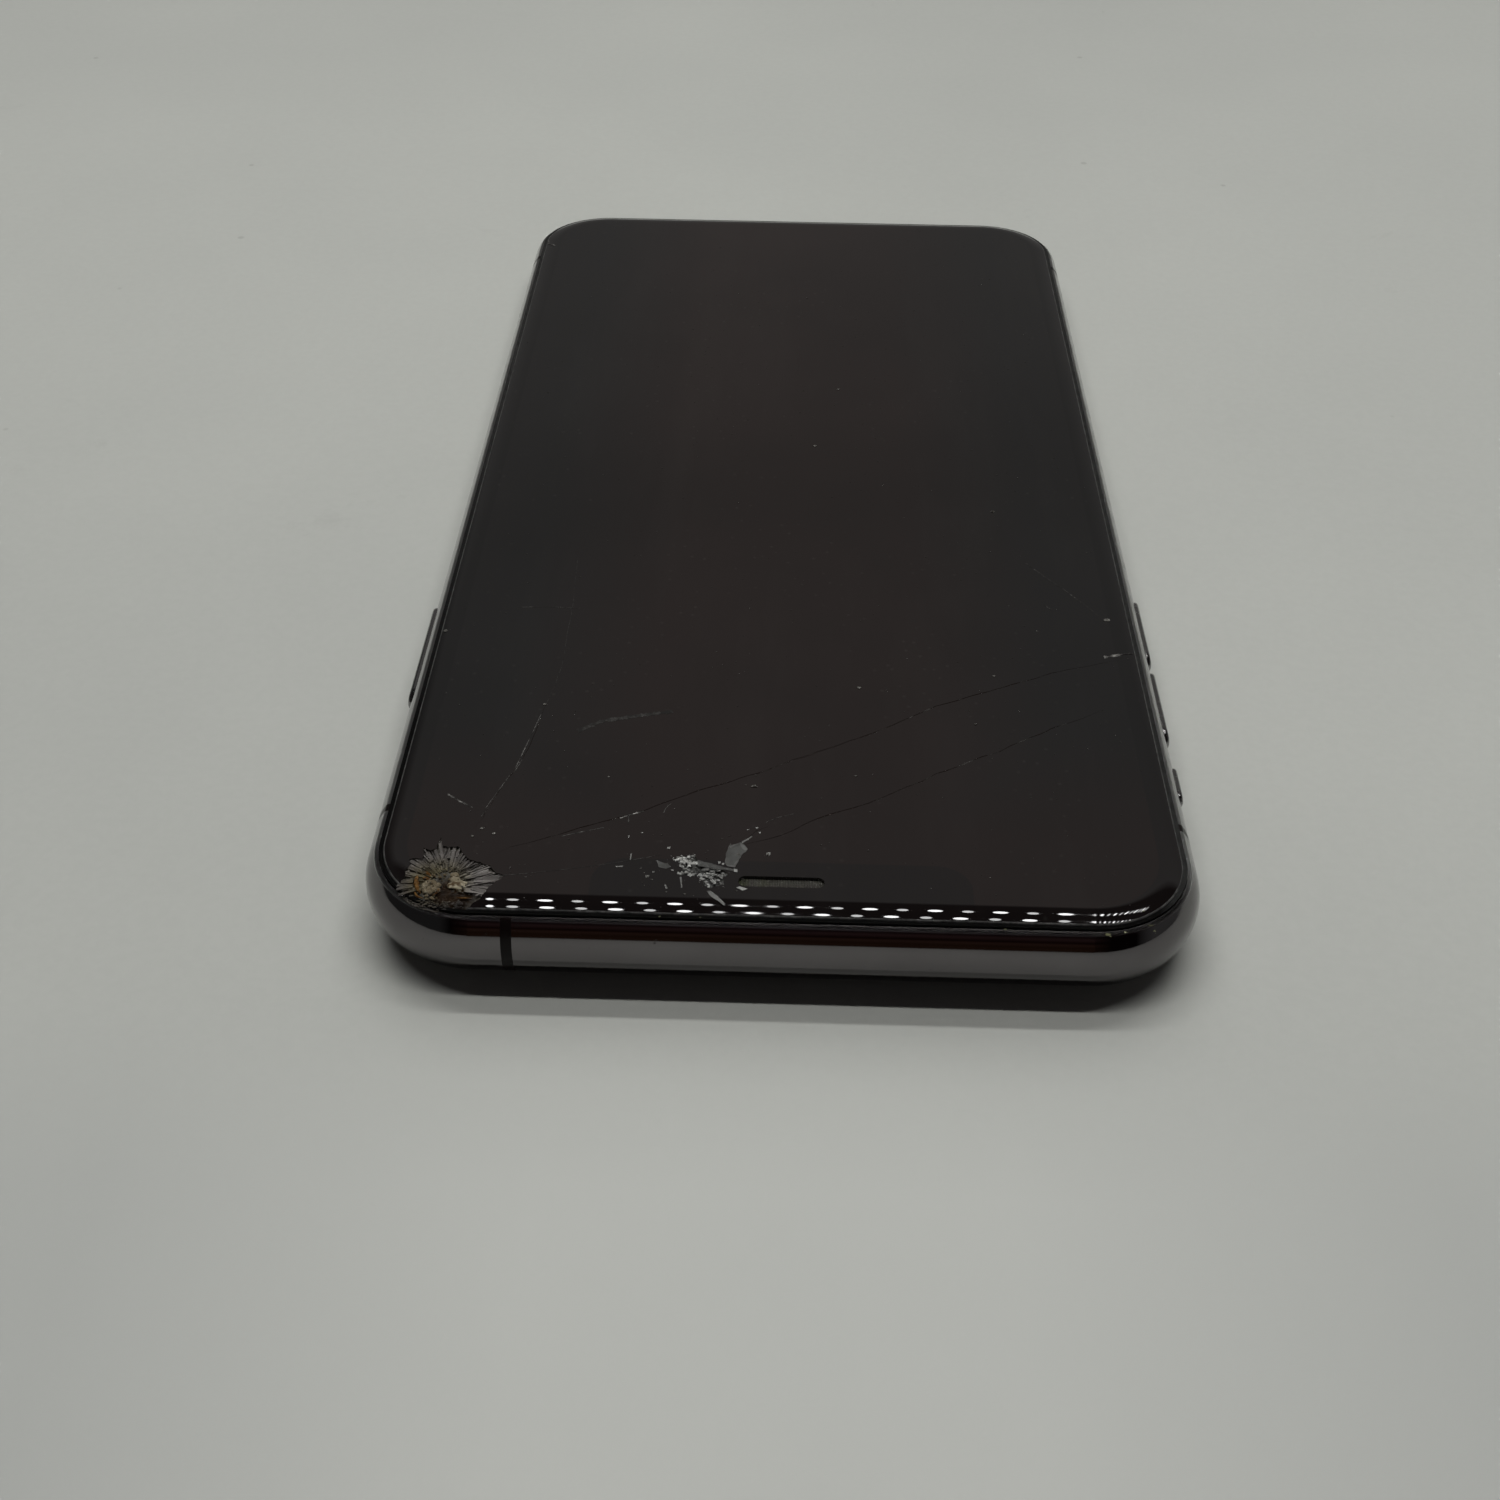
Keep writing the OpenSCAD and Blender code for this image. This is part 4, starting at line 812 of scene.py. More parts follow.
# Flat pieces that lie on the glass: outline, height above it, brightness
SLOT_FLAKES = (
    (((4.87, 67.80), (4.35, 67.60), (3.79, 67.28), (3.43, 67.74), (3.16, 68.25), (3.35, 68.61), (3.73, 69.15),
      (3.99, 69.93), (4.25, 70.80), (4.99, 70.66), (5.18, 70.07), (5.13, 69.12), (5.02, 68.42)), 0.02, 0.085),
    (((3.95, 67.4), (3.5, 67.75), (3.2, 68.2), (3.35, 68.45), (3.6, 68.3), (3.8, 67.9)), 0.035, 0.2),
    (((4.9, 67.85), (4.3, 67.62), (4.0, 67.45), (4.05, 67.6), (4.5, 67.85), (4.75, 68.2)), 0.035, 0.19),
    (((4.25, 70.8), (4.0, 69.9), (4.15, 69.9), (4.4, 70.5), (4.95, 70.5), (4.99, 70.66)), 0.035, 0.17),
    (((7.69, 69.99), (6.77, 70.22), (5.61, 70.68), (4.24, 71.06), (4.11, 71.39), (5.14, 71.18), (6.16, 71.13),
      (7.60, 70.76)), 0.03, 0.075),
    (((4.35, 70.98), (4.05, 71.1), (4.0, 71.45), (4.3, 71.4)), 0.045, 0.55),
    (((11.45, 70.06), (10.98, 70.35), (10.39, 70.53), (10.03, 70.94), (10.47, 71.22), (11.16, 71.07)), 0.02,
     0.08),
    (((6.65, 74.09), (6.38, 74.0), (5.67, 74.71), (4.95, 75.7), (5.05, 75.95), (5.59, 75.37), (6.23, 74.82)),
     0.03, 0.24),
    (((4.04, 73.53), (3.71, 73.35), (3.05, 73.66), (3.47, 73.9)), 0.03, 0.5),
    (((9.2, 72.3), (9.02, 72.3), (8.86, 73.7), (8.98, 73.75)), 0.02, 0.22),
    (((10.5, 73.3), (10.38, 73.3), (10.18, 73.9), (10.3, 73.95)), 0.02, 0.25),
    (((3.75, 67.2), (3.3, 66.85), (2.9, 66.4), (2.8, 66.45), (3.2, 66.95), (3.65, 67.35)), 0.02, 0.28),
)

SLOT_BITS = (
    # x, y, half width, half length, brightness
    (12.1, 72.3, 0.16, 0.18, 0.5), (10.4, 68.35, 0.14, 0.14, 0.5), (1.25, 68.85, 0.18, 0.22, 0.55),
    (13.8, 69.7, 0.06, 0.5, 0.3), (14.75, 71.1, 0.36, 0.1, 0.35), (5.7, 70.2, 0.12, 0.16, 0.45),
    (2.4, 65.2, 0.1, 0.1, 0.5), (2.1, 65.9, 0.1, 0.12, 0.4), (5.35, 70.4, 0.1, 0.14, 0.4),
    (3.2, 65.5, 0.1, 0.1, 0.3), (11.6, 71.7, 0.1, 0.1, 0.3), (9.9, 71.4, 0.14, 0.1, 0.35),
    (13.0, 66.3, 0.1, 0.1, 0.3), (14.2, 66.9, 0.08, 0.2, 0.3),
)


def build_slot_shards():
    """The second, whiter patch of crushed glass, with its flakes, slivers and bits."""
    pick = random.Random(43)
    chips = Chips()
    for x, y, size, bright in SLOT_LUMPS:
        for k in range(4):
            part = size * (1.0 if k == 0 else pick.uniform(0.35, 0.6))
            px, py = (x, y) if k == 0 else (x + pick.uniform(-size, size), y + pick.uniform(-size, size))
            half = (part, part * pick.uniform(0.6, 0.9), part * 0.5)
            place = (px, py, TOP + DUST_ROOM - 0.01 - half[2])
            chips.lump(pick, place, half, bright * pick.uniform(0.75, 1.1), 11)
    for _ in range(SLOT_GRAIN_COUNT):
        x, y, size, bright = pick.choice(SLOT_LUMPS)
        part = pick.uniform(0.04, 0.1)
        place = (x + pick.gauss(0, 0.4), y + pick.gauss(0, 0.35), TOP - part * 0.2)
        chips.lump(pick, place, (part, part, part * 0.5), bright * pick.uniform(0.3, 0.8), 7)
    for n, (loop, high, bright) in enumerate(SLOT_FLAKES):
        chips.slab(jagged(loop, n + 70, 0.3, 0.03), TOP + high, 0.05, bright)
    for x, y, w, l, bright in SLOT_BITS:
        loop = [(x - w, y - l), (x + w, y - l * 0.7), (x + w * 0.8, y + l), (x - w * 0.7, y + l * 0.8)]
        chips.slab(jagged(loop, int(x * 10 + y), 0.3, min(w, l) * 0.3), TOP + 0.03, 0.05, bright)
    return chips.mesh("slot_crushed_glass")


def crushed_graph(name, low, high, stain=None):
    """Crushed glass: each chip has its own brightness, with duller grains; stain tints it near one place."""
    graph = Graph(name)
    patches = graph.noise(1100.0, 4.0, 0.6)
    color = graph.mix(graph.shade(), low, high)
    if stain:
        centre, inner, outer, stain_low, stain_high = stain
        stained = graph.mix(graph.shade(), stain_low, stain_high)
        color = graph.mix(graph.near(centre, inner, outer), color, stained)
    dull = graph.ramp(patches, (0.3, (0.5, 0.49, 0.48)), (0.65, (1.1, 1.1, 1.1)))
    return graph.made(graph.noise(3000.0, 3.0, 0.6), 0.00003, 0.4, IOR=1.5, Specular_IOR_Level=0.35,
                      Base_Color=graph.mix(1.0, color, dull, "MULTIPLY"),
                      Roughness=graph.span(patches, 0.3, 0.7, 0.35, 0.6))


def build_crater_floor(name, loop, seed, depth, bulge, step=0.16):
    """The torn layer at a crater's bottom, with small ridges."""
    points = [Vector(p) for p in loop]
    edges = [(i, (i + 1) % len(points)) for i in range(len(points))]
    xs, ys = zip(*loop)
    x = min(xs)
    while x < max(xs):
        y = min(ys)
        while y < max(ys):
            if inside((x, y), loop):
                points.append(Vector((x + 0.05 * noise.noise((x * 9, y * 9, seed)), y)))
            y += step
        x += step
    flat, faces = cut_sheet(points, edges, lambda x, y: inside((x, y), loop))
    verts = []
    for x, y in flat:
        rough = 0.5 + 0.5 * noise.fractal((x * 1.9, y * 1.9, seed), 0.9, 2.1, 4)
        verts.append((x, y, max(rolled(x, y)[0] - depth + bulge * rough, GLASS_LOW.z + 0.03)))
    return shaded_mesh(name, verts, faces)


def cavity_graph():
    """Torn display layers under the corner: brown-black with rust and old glue."""
    graph = Graph("torn_layers")
    fine = graph.noise(1200.0, 5.0, 0.65)
    broad = graph.noise(420.0, 3.0, 0.6, distort=0.4)
    color = graph.ramp(broad, (0.0, (0.006, 0.0028, 0.001)), (0.5, (0.014, 0.006, 0.0015)),
                       (0.62, (0.036, 0.019, 0.006)), (0.7, (0.03, 0.024, 0.012)),
                       (0.8, (0.06, 0.052, 0.033)))
    color = graph.mix(graph.span(fine, 0.35, 0.65), (0.004, 0.0025, 0.0015), color)
    powder = graph.mix(graph.span(fine, 0.35, 0.65), (0.022, 0.019, 0.015), (0.085, 0.08, 0.068))
    color = graph.mix(graph.near((29.4, 75.2, TOP), 1.7, 2.7), powder, color)
    return graph.made(fine, 0.00006, 0.8, Base_Color=color, Specular_IOR_Level=0.3,
                      Roughness=graph.span(fine, 0.3, 0.7, 0.4, 0.8))


def chalk_graph():
    """Dark crater floor with grey glass powder on it."""
    graph = Graph("powdered_floor")
    powder = graph.noise(1500.0, 5.0, 0.7)
    patch = graph.noise(500.0, 3.0, 0.6)
    share = graph.times(graph.span(powder, 0.42, 0.62), graph.span(patch, 0.35, 0.6))
    return graph.made(powder, 0.00005, 0.6, Roughness=0.7,
                      Base_Color=graph.mix(share, (0.01, 0.0095, 0.009), (0.11, 0.112, 0.105)))


GLUE_BLOBS = (
    # place and depth, half sizes, seed, brightness
    ((29.1, 73.98, 0.2), (0.82, 0.5, 0.22), 1, 1.0), ((28.7, 73.7, 0.22), (0.45, 0.34, 0.18), 4, 0.85),
    ((31.5, 74.25, 0.3), (0.42, 0.48, 0.12), 77, 0.3), ((29.4, 73.2, 0.24), (0.5, 0.42, 0.16), 2, 0.5),
    ((29.5, 72.6, 0.22), (0.42, 0.35, 0.14), 9, 0.38), ((30.85, 74.0, 0.24), (0.3, 0.34, 0.15), 5, 0.35),
    ((30.7, 74.6, 0.26), (0.2, 0.3, 0.13), 6, 0.25),
)
# So many of those blobs are made before the curl
CURL_PLACE = 5
CURL_AT, CURL_RX, CURL_RY, CURL_COUNT = (31.5, 74.25), 0.52, 0.62, 26
CRUMB_AT, CRUMB_SPREAD, CRUMB_COUNT = (31.2, 73.9), 2.4, 24


def glue_blobs():
    """Each blob's place and depth, half sizes, seed and brightness: squeezed-out ones, curl and crumbs."""
    yield from GLUE_BLOBS[:CURL_PLACE]
    for k in range(CURL_COUNT):
        a = math.radians(40 + 330 * k / (CURL_COUNT - 1))
        thick = 0.22 + 0.05 * math.sin(k * 1.7)
        x, y = CURL_AT[0] + CURL_RX * math.cos(a), CURL_AT[1] + CURL_RY * math.sin(a)
        # Painted light and shade: the curl is lighter on one side and darker on the other, by the angle around
        # it
        yield (x, y, 0.2), (thick, thick * 1.1, 0.16), 10 + k, 0.42 + 0.2 * math.sin(a + 0.6)
    yield from GLUE_BLOBS[CURL_PLACE:]
    pick = random.Random(47)
    for _ in range(CRUMB_COUNT):
        a = pick.uniform(0, math.tau)
        far = math.sqrt(pick.uniform(0.1, 1)) * CRUMB_SPREAD
        x, y = CRUMB_AT[0] + far * math.cos(a), CRUMB_AT[1] + far * math.sin(a) * 0.8
        if not inside((x, y), TORN):
            size = pick.uniform(0.07, 0.17)
            yield (x, y, 0.18), (size, size * 0.8, size * 0.6), pick.uniform(0, 90), pick.uniform(0.1, 0.4)


def build_glue_lumps():
    """Beige glue squeezed out at the corner: flat blobs, a curled ring and crumbs."""
    bm = bmesh.new()
    shade = bm.verts.layers.float.new("shade")
    for (x0, y0, sink), size, seed, bright in glue_blobs():
        z0 = rolled(x0, y0)[0] - sink
        for v in bmesh.ops.create_icosphere(bm, subdivisions=4, radius=1.0)["verts"]:
            p = v.co.copy()
            swell = 1 + 0.3 * noise.fractal((p.x * 1.5 + seed, p.y * 1.5, p.z * 1.5), 1.0, 2.0, 4)
            x, y = x0 + p.x * size[0] * swell, y0 + p.y * size[1] * swell
            v.co = Vector((x, y, min(z0 + p.z * size[2] * swell, rolled(x, y)[0] + 0.02))) * MM
            v[shade] = bright
    return bmesh_to_mesh("glue_lumps", bm)


def glue_graph():
    graph = Graph("glue")
    broad = graph.noise(700.0, 4.0, 0.6)
    fine = graph.noise(2600.0, 4.0, 0.6)
    color = graph.mix(graph.shade(), (0.05, 0.030, 0.012), (0.30, 0.27, 0.195))
    color = graph.mix(graph.span(broad, 0.47, 0.36), color, (0.06, 0.040, 0.020))
    return graph.made(fine, 0.00004, 0.6, Base_Color=color, Specular_IOR_Level=0.3,
                      Roughness=graph.span(fine, 0.3, 0.7, 0.45, 0.75))


RUST_UNDER = 0.14
RUST_STREAKS = (
    # path, half width
    (((32.75, 72.8), (32.85, 73.5), (32.6, 74.4), (32.2, 75.0)), 0.34),
    (((32.5, 72.4), (32.0, 72.5), (31.6, 72.9)), 0.26),
    (((32.3, 73.2), (31.9, 73.2), (31.7, 73.5)), 0.24), (((32.9, 74.6), (32.5, 75.2), (31.9, 75.5)), 0.18),
    (((31.1, 75.3), (30.7, 75.0), (30.6, 74.5)), 0.12), (((28.9, 75.55), (28.2, 75.6), (27.6, 75.6)), 0.1),
)


def build_rust_streaks(around=8):
    """Rust-coloured streaks round the curled glue."""
    bm = bmesh.new()
    for n, (path, wide) in enumerate(RUST_STREAKS):
        pts = wander(path, 60 + n, 0.14, 0.1)
        rings = []
        for i, (x, y) in enumerate(pts):
            nx, ny = across_at(pts, i)
            swell = 0.6 + 0.7 * abs(noise.noise((x * 3, y * 3, n)))
            r = wide * swell * math.sin(math.pi * (i + 0.7) / (len(pts) + 0.4))
            z = rolled(x, y)[0] - RUST_UNDER
            rings.append([bm.verts.new(Vector((x + nx * r * math.cos(a), y + ny * r * math.cos(a),
                                               z + r * 0.6 * math.sin(a))) * MM)
                          for a in (k * math.tau / around for k in range(around))])
        for a, b in zip(rings, rings[1:]):
            for k in range(around):
                bm.faces.new((a[k], a[(k + 1) % around], b[(k + 1) % around], b[k]))
    bmesh.ops.recalc_face_normals(bm, faces=bm.faces)
    return bmesh_to_mesh("rust_streaks", bm)


def rust_graph():
    graph = Graph("rust")
    fine = graph.noise(1500.0, 5.0, 0.65)
    color = graph.ramp(fine, (0.3, (0.014, 0.006, 0.002)), (0.5, (0.085, 0.042, 0.013)),
                       (0.7, (0.21, 0.12, 0.042)))
    return graph.made(fine, 0.00005, 0.7, Base_Color=color, Roughness=0.75, Specular_IOR_Level=0.2)


# ---------------------------------------------------------------- dust, scratches and scuffs

SCRATCH_HIGH = 0.012
SCRATCHES = (
    # points, width, brightness, seed
    (((31.9, 61.4), (30.6, 62.4), (29.2, 63.3)), 0.26, 0.8, 1),
    (((20.5, 51.1), (18.0, 49.3), (14.4, 48.3), (11.3, 47.5)), 0.7, 0.12, 2),
    (((22.4, 29.5), (25.5, 29.3), (29.0, 29.5)), 0.12, 0.15, 3),
    (((-26.5, 18.2), (-28.6, 21.3), (-30.6, 23.9), (-32.4, 26.7), (-34.0, 29.4)), 0.14, 0.16, 4),
    (((-27.8, 26.6), (-28.6, 27.6)), 0.14, 0.35, 5),
    (((-33.2, 36.2), (-34.2, 35.95), (-35.0, 35.7)), 0.5, 0.9, 6),
    (((-35.0, 35.7), (-36.4, 35.1)), 0.2, 0.25, 17),
    (((28.2, 64.8), (27.9, 63.2), (26.3, 58.3)), 0.1, 0.45, 7),
    (((25.9, 57.2), (25.1, 52.6), (24.4, 48.5)), 0.12, 0.55, 8),
    (((24.1, 46.9), (23.5, 43.3), (23.2, 40.0), (23.2, 29.3), (23.6, 19.8)), 0.09, 0.1, 9),
    (((25.5, 72.8), (20.3, 71.8), (15.2, 70.6), (11.0, 69.3)), 0.09, 0.14, 10),
    (((15.2, 64.3), (13.1, 63.2)), 0.2, 0.75, 11),
    (((14.5, 63.8), (14.4, 65.1)), 0.13, 0.5, 12),
    (((16.6, 65.7), (20.4, 67.1)), 0.15, 0.35, 13),
    (((11.2, 63.4), (11.0, 62.6), (10.6, 62.0)), 0.1, 0.35, 14),
    (((1.6, 64.4), (0.4, 63.6), (-1.0, 63.0)), 0.1, 0.3, 15),
    (((35.3, -65.4), (36.3, -66.6), (36.5, -67.9)), 0.5, 0.5, 16),
)

DUST_COUNT, SPLINTER_COUNT = 700, 90
SPECKS = ((2.8, 59.1, 0.24), (-7.5, 42.7, 0.24), (-2.9, -7.3, 0.22), (-5.9, -22.3, 0.22), (-23.7, 7.3, 0.22),
          (-34.3, 29.3, 0.32), (24.2, 46.9, 0.2), (26.7, 67.0, 0.2), (27.9, 66.3, 0.16), (28.6, 67.4, 0.14),
          (-6.9, 57.1, 0.14), (-19.0, 48.4, 0.14), (1.3, 68.9, 0.2), (4.0, 69.0, 0.16), (36.2, 34.0, 0.25),
          (-21.4, 40.1, 0.14), (-26.6, 31.7, 0.12), (12.1, 72.3, 0.14), (16.8, 58.2, 0.1))


def build_scratches():
    """Thin ribbons of scuffed glass on the surface."""
    chips = Chips()
    for points, width, bright, seed in SCRATCHES:
        path = wander(points, seed + 80, 0.3, 0.06)
        pick = random.Random(seed)
        for a, b in zip(path, path[1:]):
            half_a, half_b = (width / 2 * pick.uniform(0.35, 1.0) for _ in range(2))
            chips.slab(stroke(a, b, half_a, half_b), rolled(*a)[0] + SCRATCH_HIGH, 0.03,
                       bright * pick.uniform(0.3, 1.1))
    return chips.mesh("scratches")


def build_dust():
    """Loose specks of dust and tiny splinters over the glass."""
    pick = random.Random(53)
    chips = Chips()
    places = [(x, y, size, 0.75) for x, y, size in SPECKS]
    for _ in range(DUST_COUNT):
        x, y = pick.uniform(-36, 36), pick.uniform(-76, 76)
        places.append((x, y, pick.choice((0.04, 0.05, 0.06, 0.07)), pick.uniform(0.05, 0.22)))
    for _ in range(SPLINTER_COUNT):
        a, far = pick.uniform(0, math.tau), abs(pick.gauss(0, 5.5)) + 1.5
        centre = pick.choice((CORNER_HIT, SLOT_HIT))
        places.append((centre[0] + far * math.cos(a), centre[1] + far * math.sin(a) * 0.8,
                       pick.choice((0.04, 0.05, 0.06, 0.09)), pick.uniform(0.1, 0.5)))
    for x, y, size, bright in places:
        if inset_at(x, y)[0] >= GLASS_IN + 0.4:
            n, turn, long = pick.randint(5, 7), pick.uniform(0, math.tau), pick.uniform(0.8, 1.6)
            loop = []
            for k in range(n):
                a, r = turn + k * math.tau / n, size * pick.uniform(0.6, 1.1)
                loop.append((x + r * long * math.cos(a), y + r * math.sin(a)))
            chips.slab(loop, rolled(x, y)[0] + min(0.05, size * 0.35), 0.06, bright)
    return chips.mesh("dust")


def dust_graph():
    graph = Graph("dust")
    grain = graph.noise(1800.0, 3.0, 0.6)
    color = graph.mix(graph.shade(), (0.02, 0.019, 0.018), (0.24, 0.235, 0.215))
    color = graph.mix(graph.span(grain, 0.35, 0.7), (0.02, 0.018, 0.016), color)
    return graph.made(grain, 0.00003, 0.5, Base_Color=color, Roughness=0.7)


def scratch_graph():
    graph = Graph("scuffed_glass")
    grain = graph.noise(1300.0, 4.0, 0.65)
    share = graph.times(graph.span(grain, 0.4, 0.6), graph.shade())
    color = graph.mix(share, (0.008, 0.007, 0.0065), (0.26, 0.255, 0.24))
    return graph.made(grain, 0.00003, 0.5, Base_Color=color, Roughness=graph.blend(share, 0.06, 0.6), IOR=1.5)


# ---------------------------------------------------------------- rim, earpiece and buttons

EDGE_DEBRIS = (
    # x, y, half size, brightness
    (-28.8, 77.55, 0.34, 0.9), (-32.8, 76.2, 0.2, 0.5), (-33.1, 76.4, 0.16, 0.6), (-30.4, 77.2, 0.18, 0.5),
    (-32.2, 75.0, 0.14, 0.4), (-19.8, 77.3, 0.16, 0.5), (10.7, 77.05, 0.14, 0.5), (7.1, 77.05, 0.12, 0.45),
)
BAND_CURVE_R, BAND_MID_Z, RIM_ROUND, RIM_IN, RIM_Z, ROUND_FROM = 4.85, 5.0, 0.6, 1.527, 7.65, 1.06


def edge_height(x, y):
    """Height of the upper surface near the phone's edge: band, rounded rim, plastic frame or glass."""
    inset, _ = inset_at(x, y)
    if inset > GLASS_IN:
        return rolled(x, y)[0]
    if inset > RIM_IN:
        return FRAME_TOP
    if inset > ROUND_FROM:
        return RIM_Z + math.sqrt(RIM_ROUND ** 2 - (RIM_IN - inset) ** 2)
    return BAND_MID_Z + math.sqrt(BAND_CURVE_R ** 2 - (BAND_CURVE_R - inset) ** 2)


def build_edge_debris():
    """Crumbs that have stayed on the steel rim and in the gap beside the glass."""
    pick = random.Random(59)
    chips = Chips()
    for x, y, size, bright in EDGE_DEBRIS:
        for k in range(3):
            part = size * (1.0 if k == 0 else pick.uniform(0.3, 0.6))
            shift = 0 if k == 0 else size
            px, py = x + pick.uniform(-shift, shift), y + pick.uniform(-shift, shift) * 0.5
            place = (px, py, edge_height(px, py) + part * 0.3)
            chips.lump(pick, place, (part, part * 0.7, part * 0.5), bright, 10)
    return chips.mesh("edge_debris")


WIRE_PITCH, WIRE_R, WIRE_WAVE, WIRE_STEP, WIRE_Z = 0.24, 0.072, 0.05, 0.03, 8.5


def build_woven_mesh():
    """The earpiece's woven steel mesh: wires both ways, each passing over and under the others."""
    low, high = (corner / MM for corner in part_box("earpiece_mesh"))
    wide, long = round((high.x - low.x) / WIRE_STEP), round((high.y - low.y) / WIRE_STEP)

    def crest(off, wave):
        """Top of a round wire that passes at that share of the pitch from here."""
        side = off * WIRE_PITCH
        return wave + math.sqrt(WIRE_R ** 2 - side ** 2) if abs(side) < WIRE_R else -WIRE_R

    verts = []
    for j in range(long + 1):
        for i in range(wide + 1):
            x = low.x + (high.x - low.x) * i / wide
            y = low.y + (high.y - low.y) * j / long
            u, v = x / WIRE_PITCH, y / WIRE_PITCH
            wave_y = WIRE_WAVE * math.cos(math.pi * (v + round(u)))
            wave_x = -WIRE_WAVE * math.cos(math.pi * (u + round(v)))
            verts.append((x, y, WIRE_Z + max(crest(u - round(u), wave_y), crest(v - round(v), wave_x))))
    row = wide + 1
    starts = [j * row + i for j in range(long) for i in range(wide)]
    faces = [(k, k + 1, k + row + 1, k + row) for k in starts]
    return shaded_mesh("woven_mesh", verts, faces, smooth=True)


# The pressed faces are crowned, and their rims are rounded; depths go inwards from the band's widest line
BUTTON_ROUND, BUTTON_CROWN_R, BUTTON_IN, POST_FROM, PIN_D, PIN_PLACE = 0.3, 3.4, 1.15, 1.0, 1.3, 2.05
STEM_HALF_L, STEM_HALF_H = 0.8, 0.45
BUTTONS = (
    # node, body
    ("side_button", "side_button"), ("volume_up_button", "volume_up"), ("volume_down_button", "volume_down"),
    ("ring_switch", "ring_switch"),
)


def button_posts(node, cy, cz, half_l):
    """Outlines, across the phone, of what holds a button: two pins, or the switch's flat stem."""
    if node == "ring_switch":
        corners = ((-1, -1), (1, -1), (1, 1), (-1, 1))
        return [[(cy + sy * STEM_HALF_L, cz + sz * STEM_HALF_H) for sy, sz in corners]]
    return [[(cy + side * (half_l - PIN_PLACE) + PIN_D / 2 * math.cos(a), cz + PIN_D / 2 * math.sin(a))
             for a in (k * math.tau / 20 for k in range(20))] for side in (-1, 1)]


def build_button(node, arc=10, rings=5):
    """A pill-shaped button with a crowned face, a rounded rim and its posts."""
    low, high = (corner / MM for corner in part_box(node))
    out = math.copysign(1.0, low.x + high.x)
    back, front = (low.x, high.x) if out > 0 else (high.x, low.x)
    cy, cz = (low.y + high.y) / 2, (low.z + high.z) / 2
    half_l, half_h = (high.y - low.y) / 2, (high.z - low.z) / 2
    verts, faces = [], []

    def tube(loops):
        """Skin over loops of (x, y, z), closed at both ends."""
        start, n = len(verts) - len(loops) * len(loops[0]), len(loops[0])
        for k in range(len(loops) - 1):
            a = start + k * n
            faces.extend([a + i, a + (i + 1) % n, a + n + (i + 1) % n, a + n + i] for i in range(n))
        faces.append(list(range(start, start + n))[::-1])
        faces.append(list(range(len(verts) - n, len(verts))))

    def pill(x, inset):
        r = max(half_h - inset, 0.03)
        loop = []
        for side, start in ((1, -90), (-1, 90)):
            for k in range(arc + 1):
                a = math.radians(start + 180 * k / arc)
                z = r * math.sin(a)
                crown = 0.0 if x is None else BUTTON_CROWN_R - math.sqrt(BUTTON_CROWN_R ** 2 - z * z)
                loop.append((out * (HALF_W - BUTTON_IN) if x is None else x - out * crown,
                             cy + side * (half_l - half_h) + r * math.cos(a), cz + z))
        verts.extend(loop)
        return loop

    loops = [pill(None, 0.0)]
    for k in range(rings + 1):
        a = math.radians(90 * k / rings)
        loops.append(pill(front - out * BUTTON_ROUND * (1 - math.sin(a)), BUTTON_ROUND * (1 - math.cos(a))))
    for share in (0.5, 0.7, 0.88, 1.0):
        loops.append(pill(front, half_h * share))
    tube(loops)
    for post in button_posts(node, cy, cz, half_l):
        ends = [[(x, y, z) for y, z in post] for x in (back, out * (HALF_W - POST_FROM))]
        verts.extend(ends[0] + ends[1])
        tube(ends)
    if out < 0:
        faces = [face[::-1] for face in faces]
    return shaded_mesh(node + "_rounded", verts, faces, smooth=True)


# ---------------------------------------------------------------- materials of the CAD nodes

def metal(name, color, rough, streak=(1, 1, 1), grain=0.1, scratch=0.0, dirt=0.0):
    """Metal with faint stains, fine scratches and grime."""
    graph = Graph(name)
    stain = graph.noise(140.0, 5.0, 0.6)
    fine = graph.noise(3500.0, 3.0, 0.6, at=graph.stretched(streak))
    lines = graph.span(graph.noise(900.0, 3.0, 0.7, at=graph.stretched((1.0, 1.0, 9.0))), 0.6, 0.75)
    grime_and_joint_shade = graph.span(graph.noise(260.0, 6.0, 0.7), 0.55, 0.75)
    shade = graph.mix(graph.span(stain, 0.3, 0.7), times(color, 0.92), times(color, 1.1))
    shade = graph.mix(graph.times(grime_and_joint_shade, dirt), shade, (0.03, 0.026, 0.022))
    roughness = graph.math("ADD", graph.span(stain, 0.3, 0.7, rough * 0.8, rough * 1.25),
                           graph.times(lines, scratch))
    return graph.made(fine, 0.00001, grain, Base_Color=shade, Metallic=1.0, Roughness=roughness)


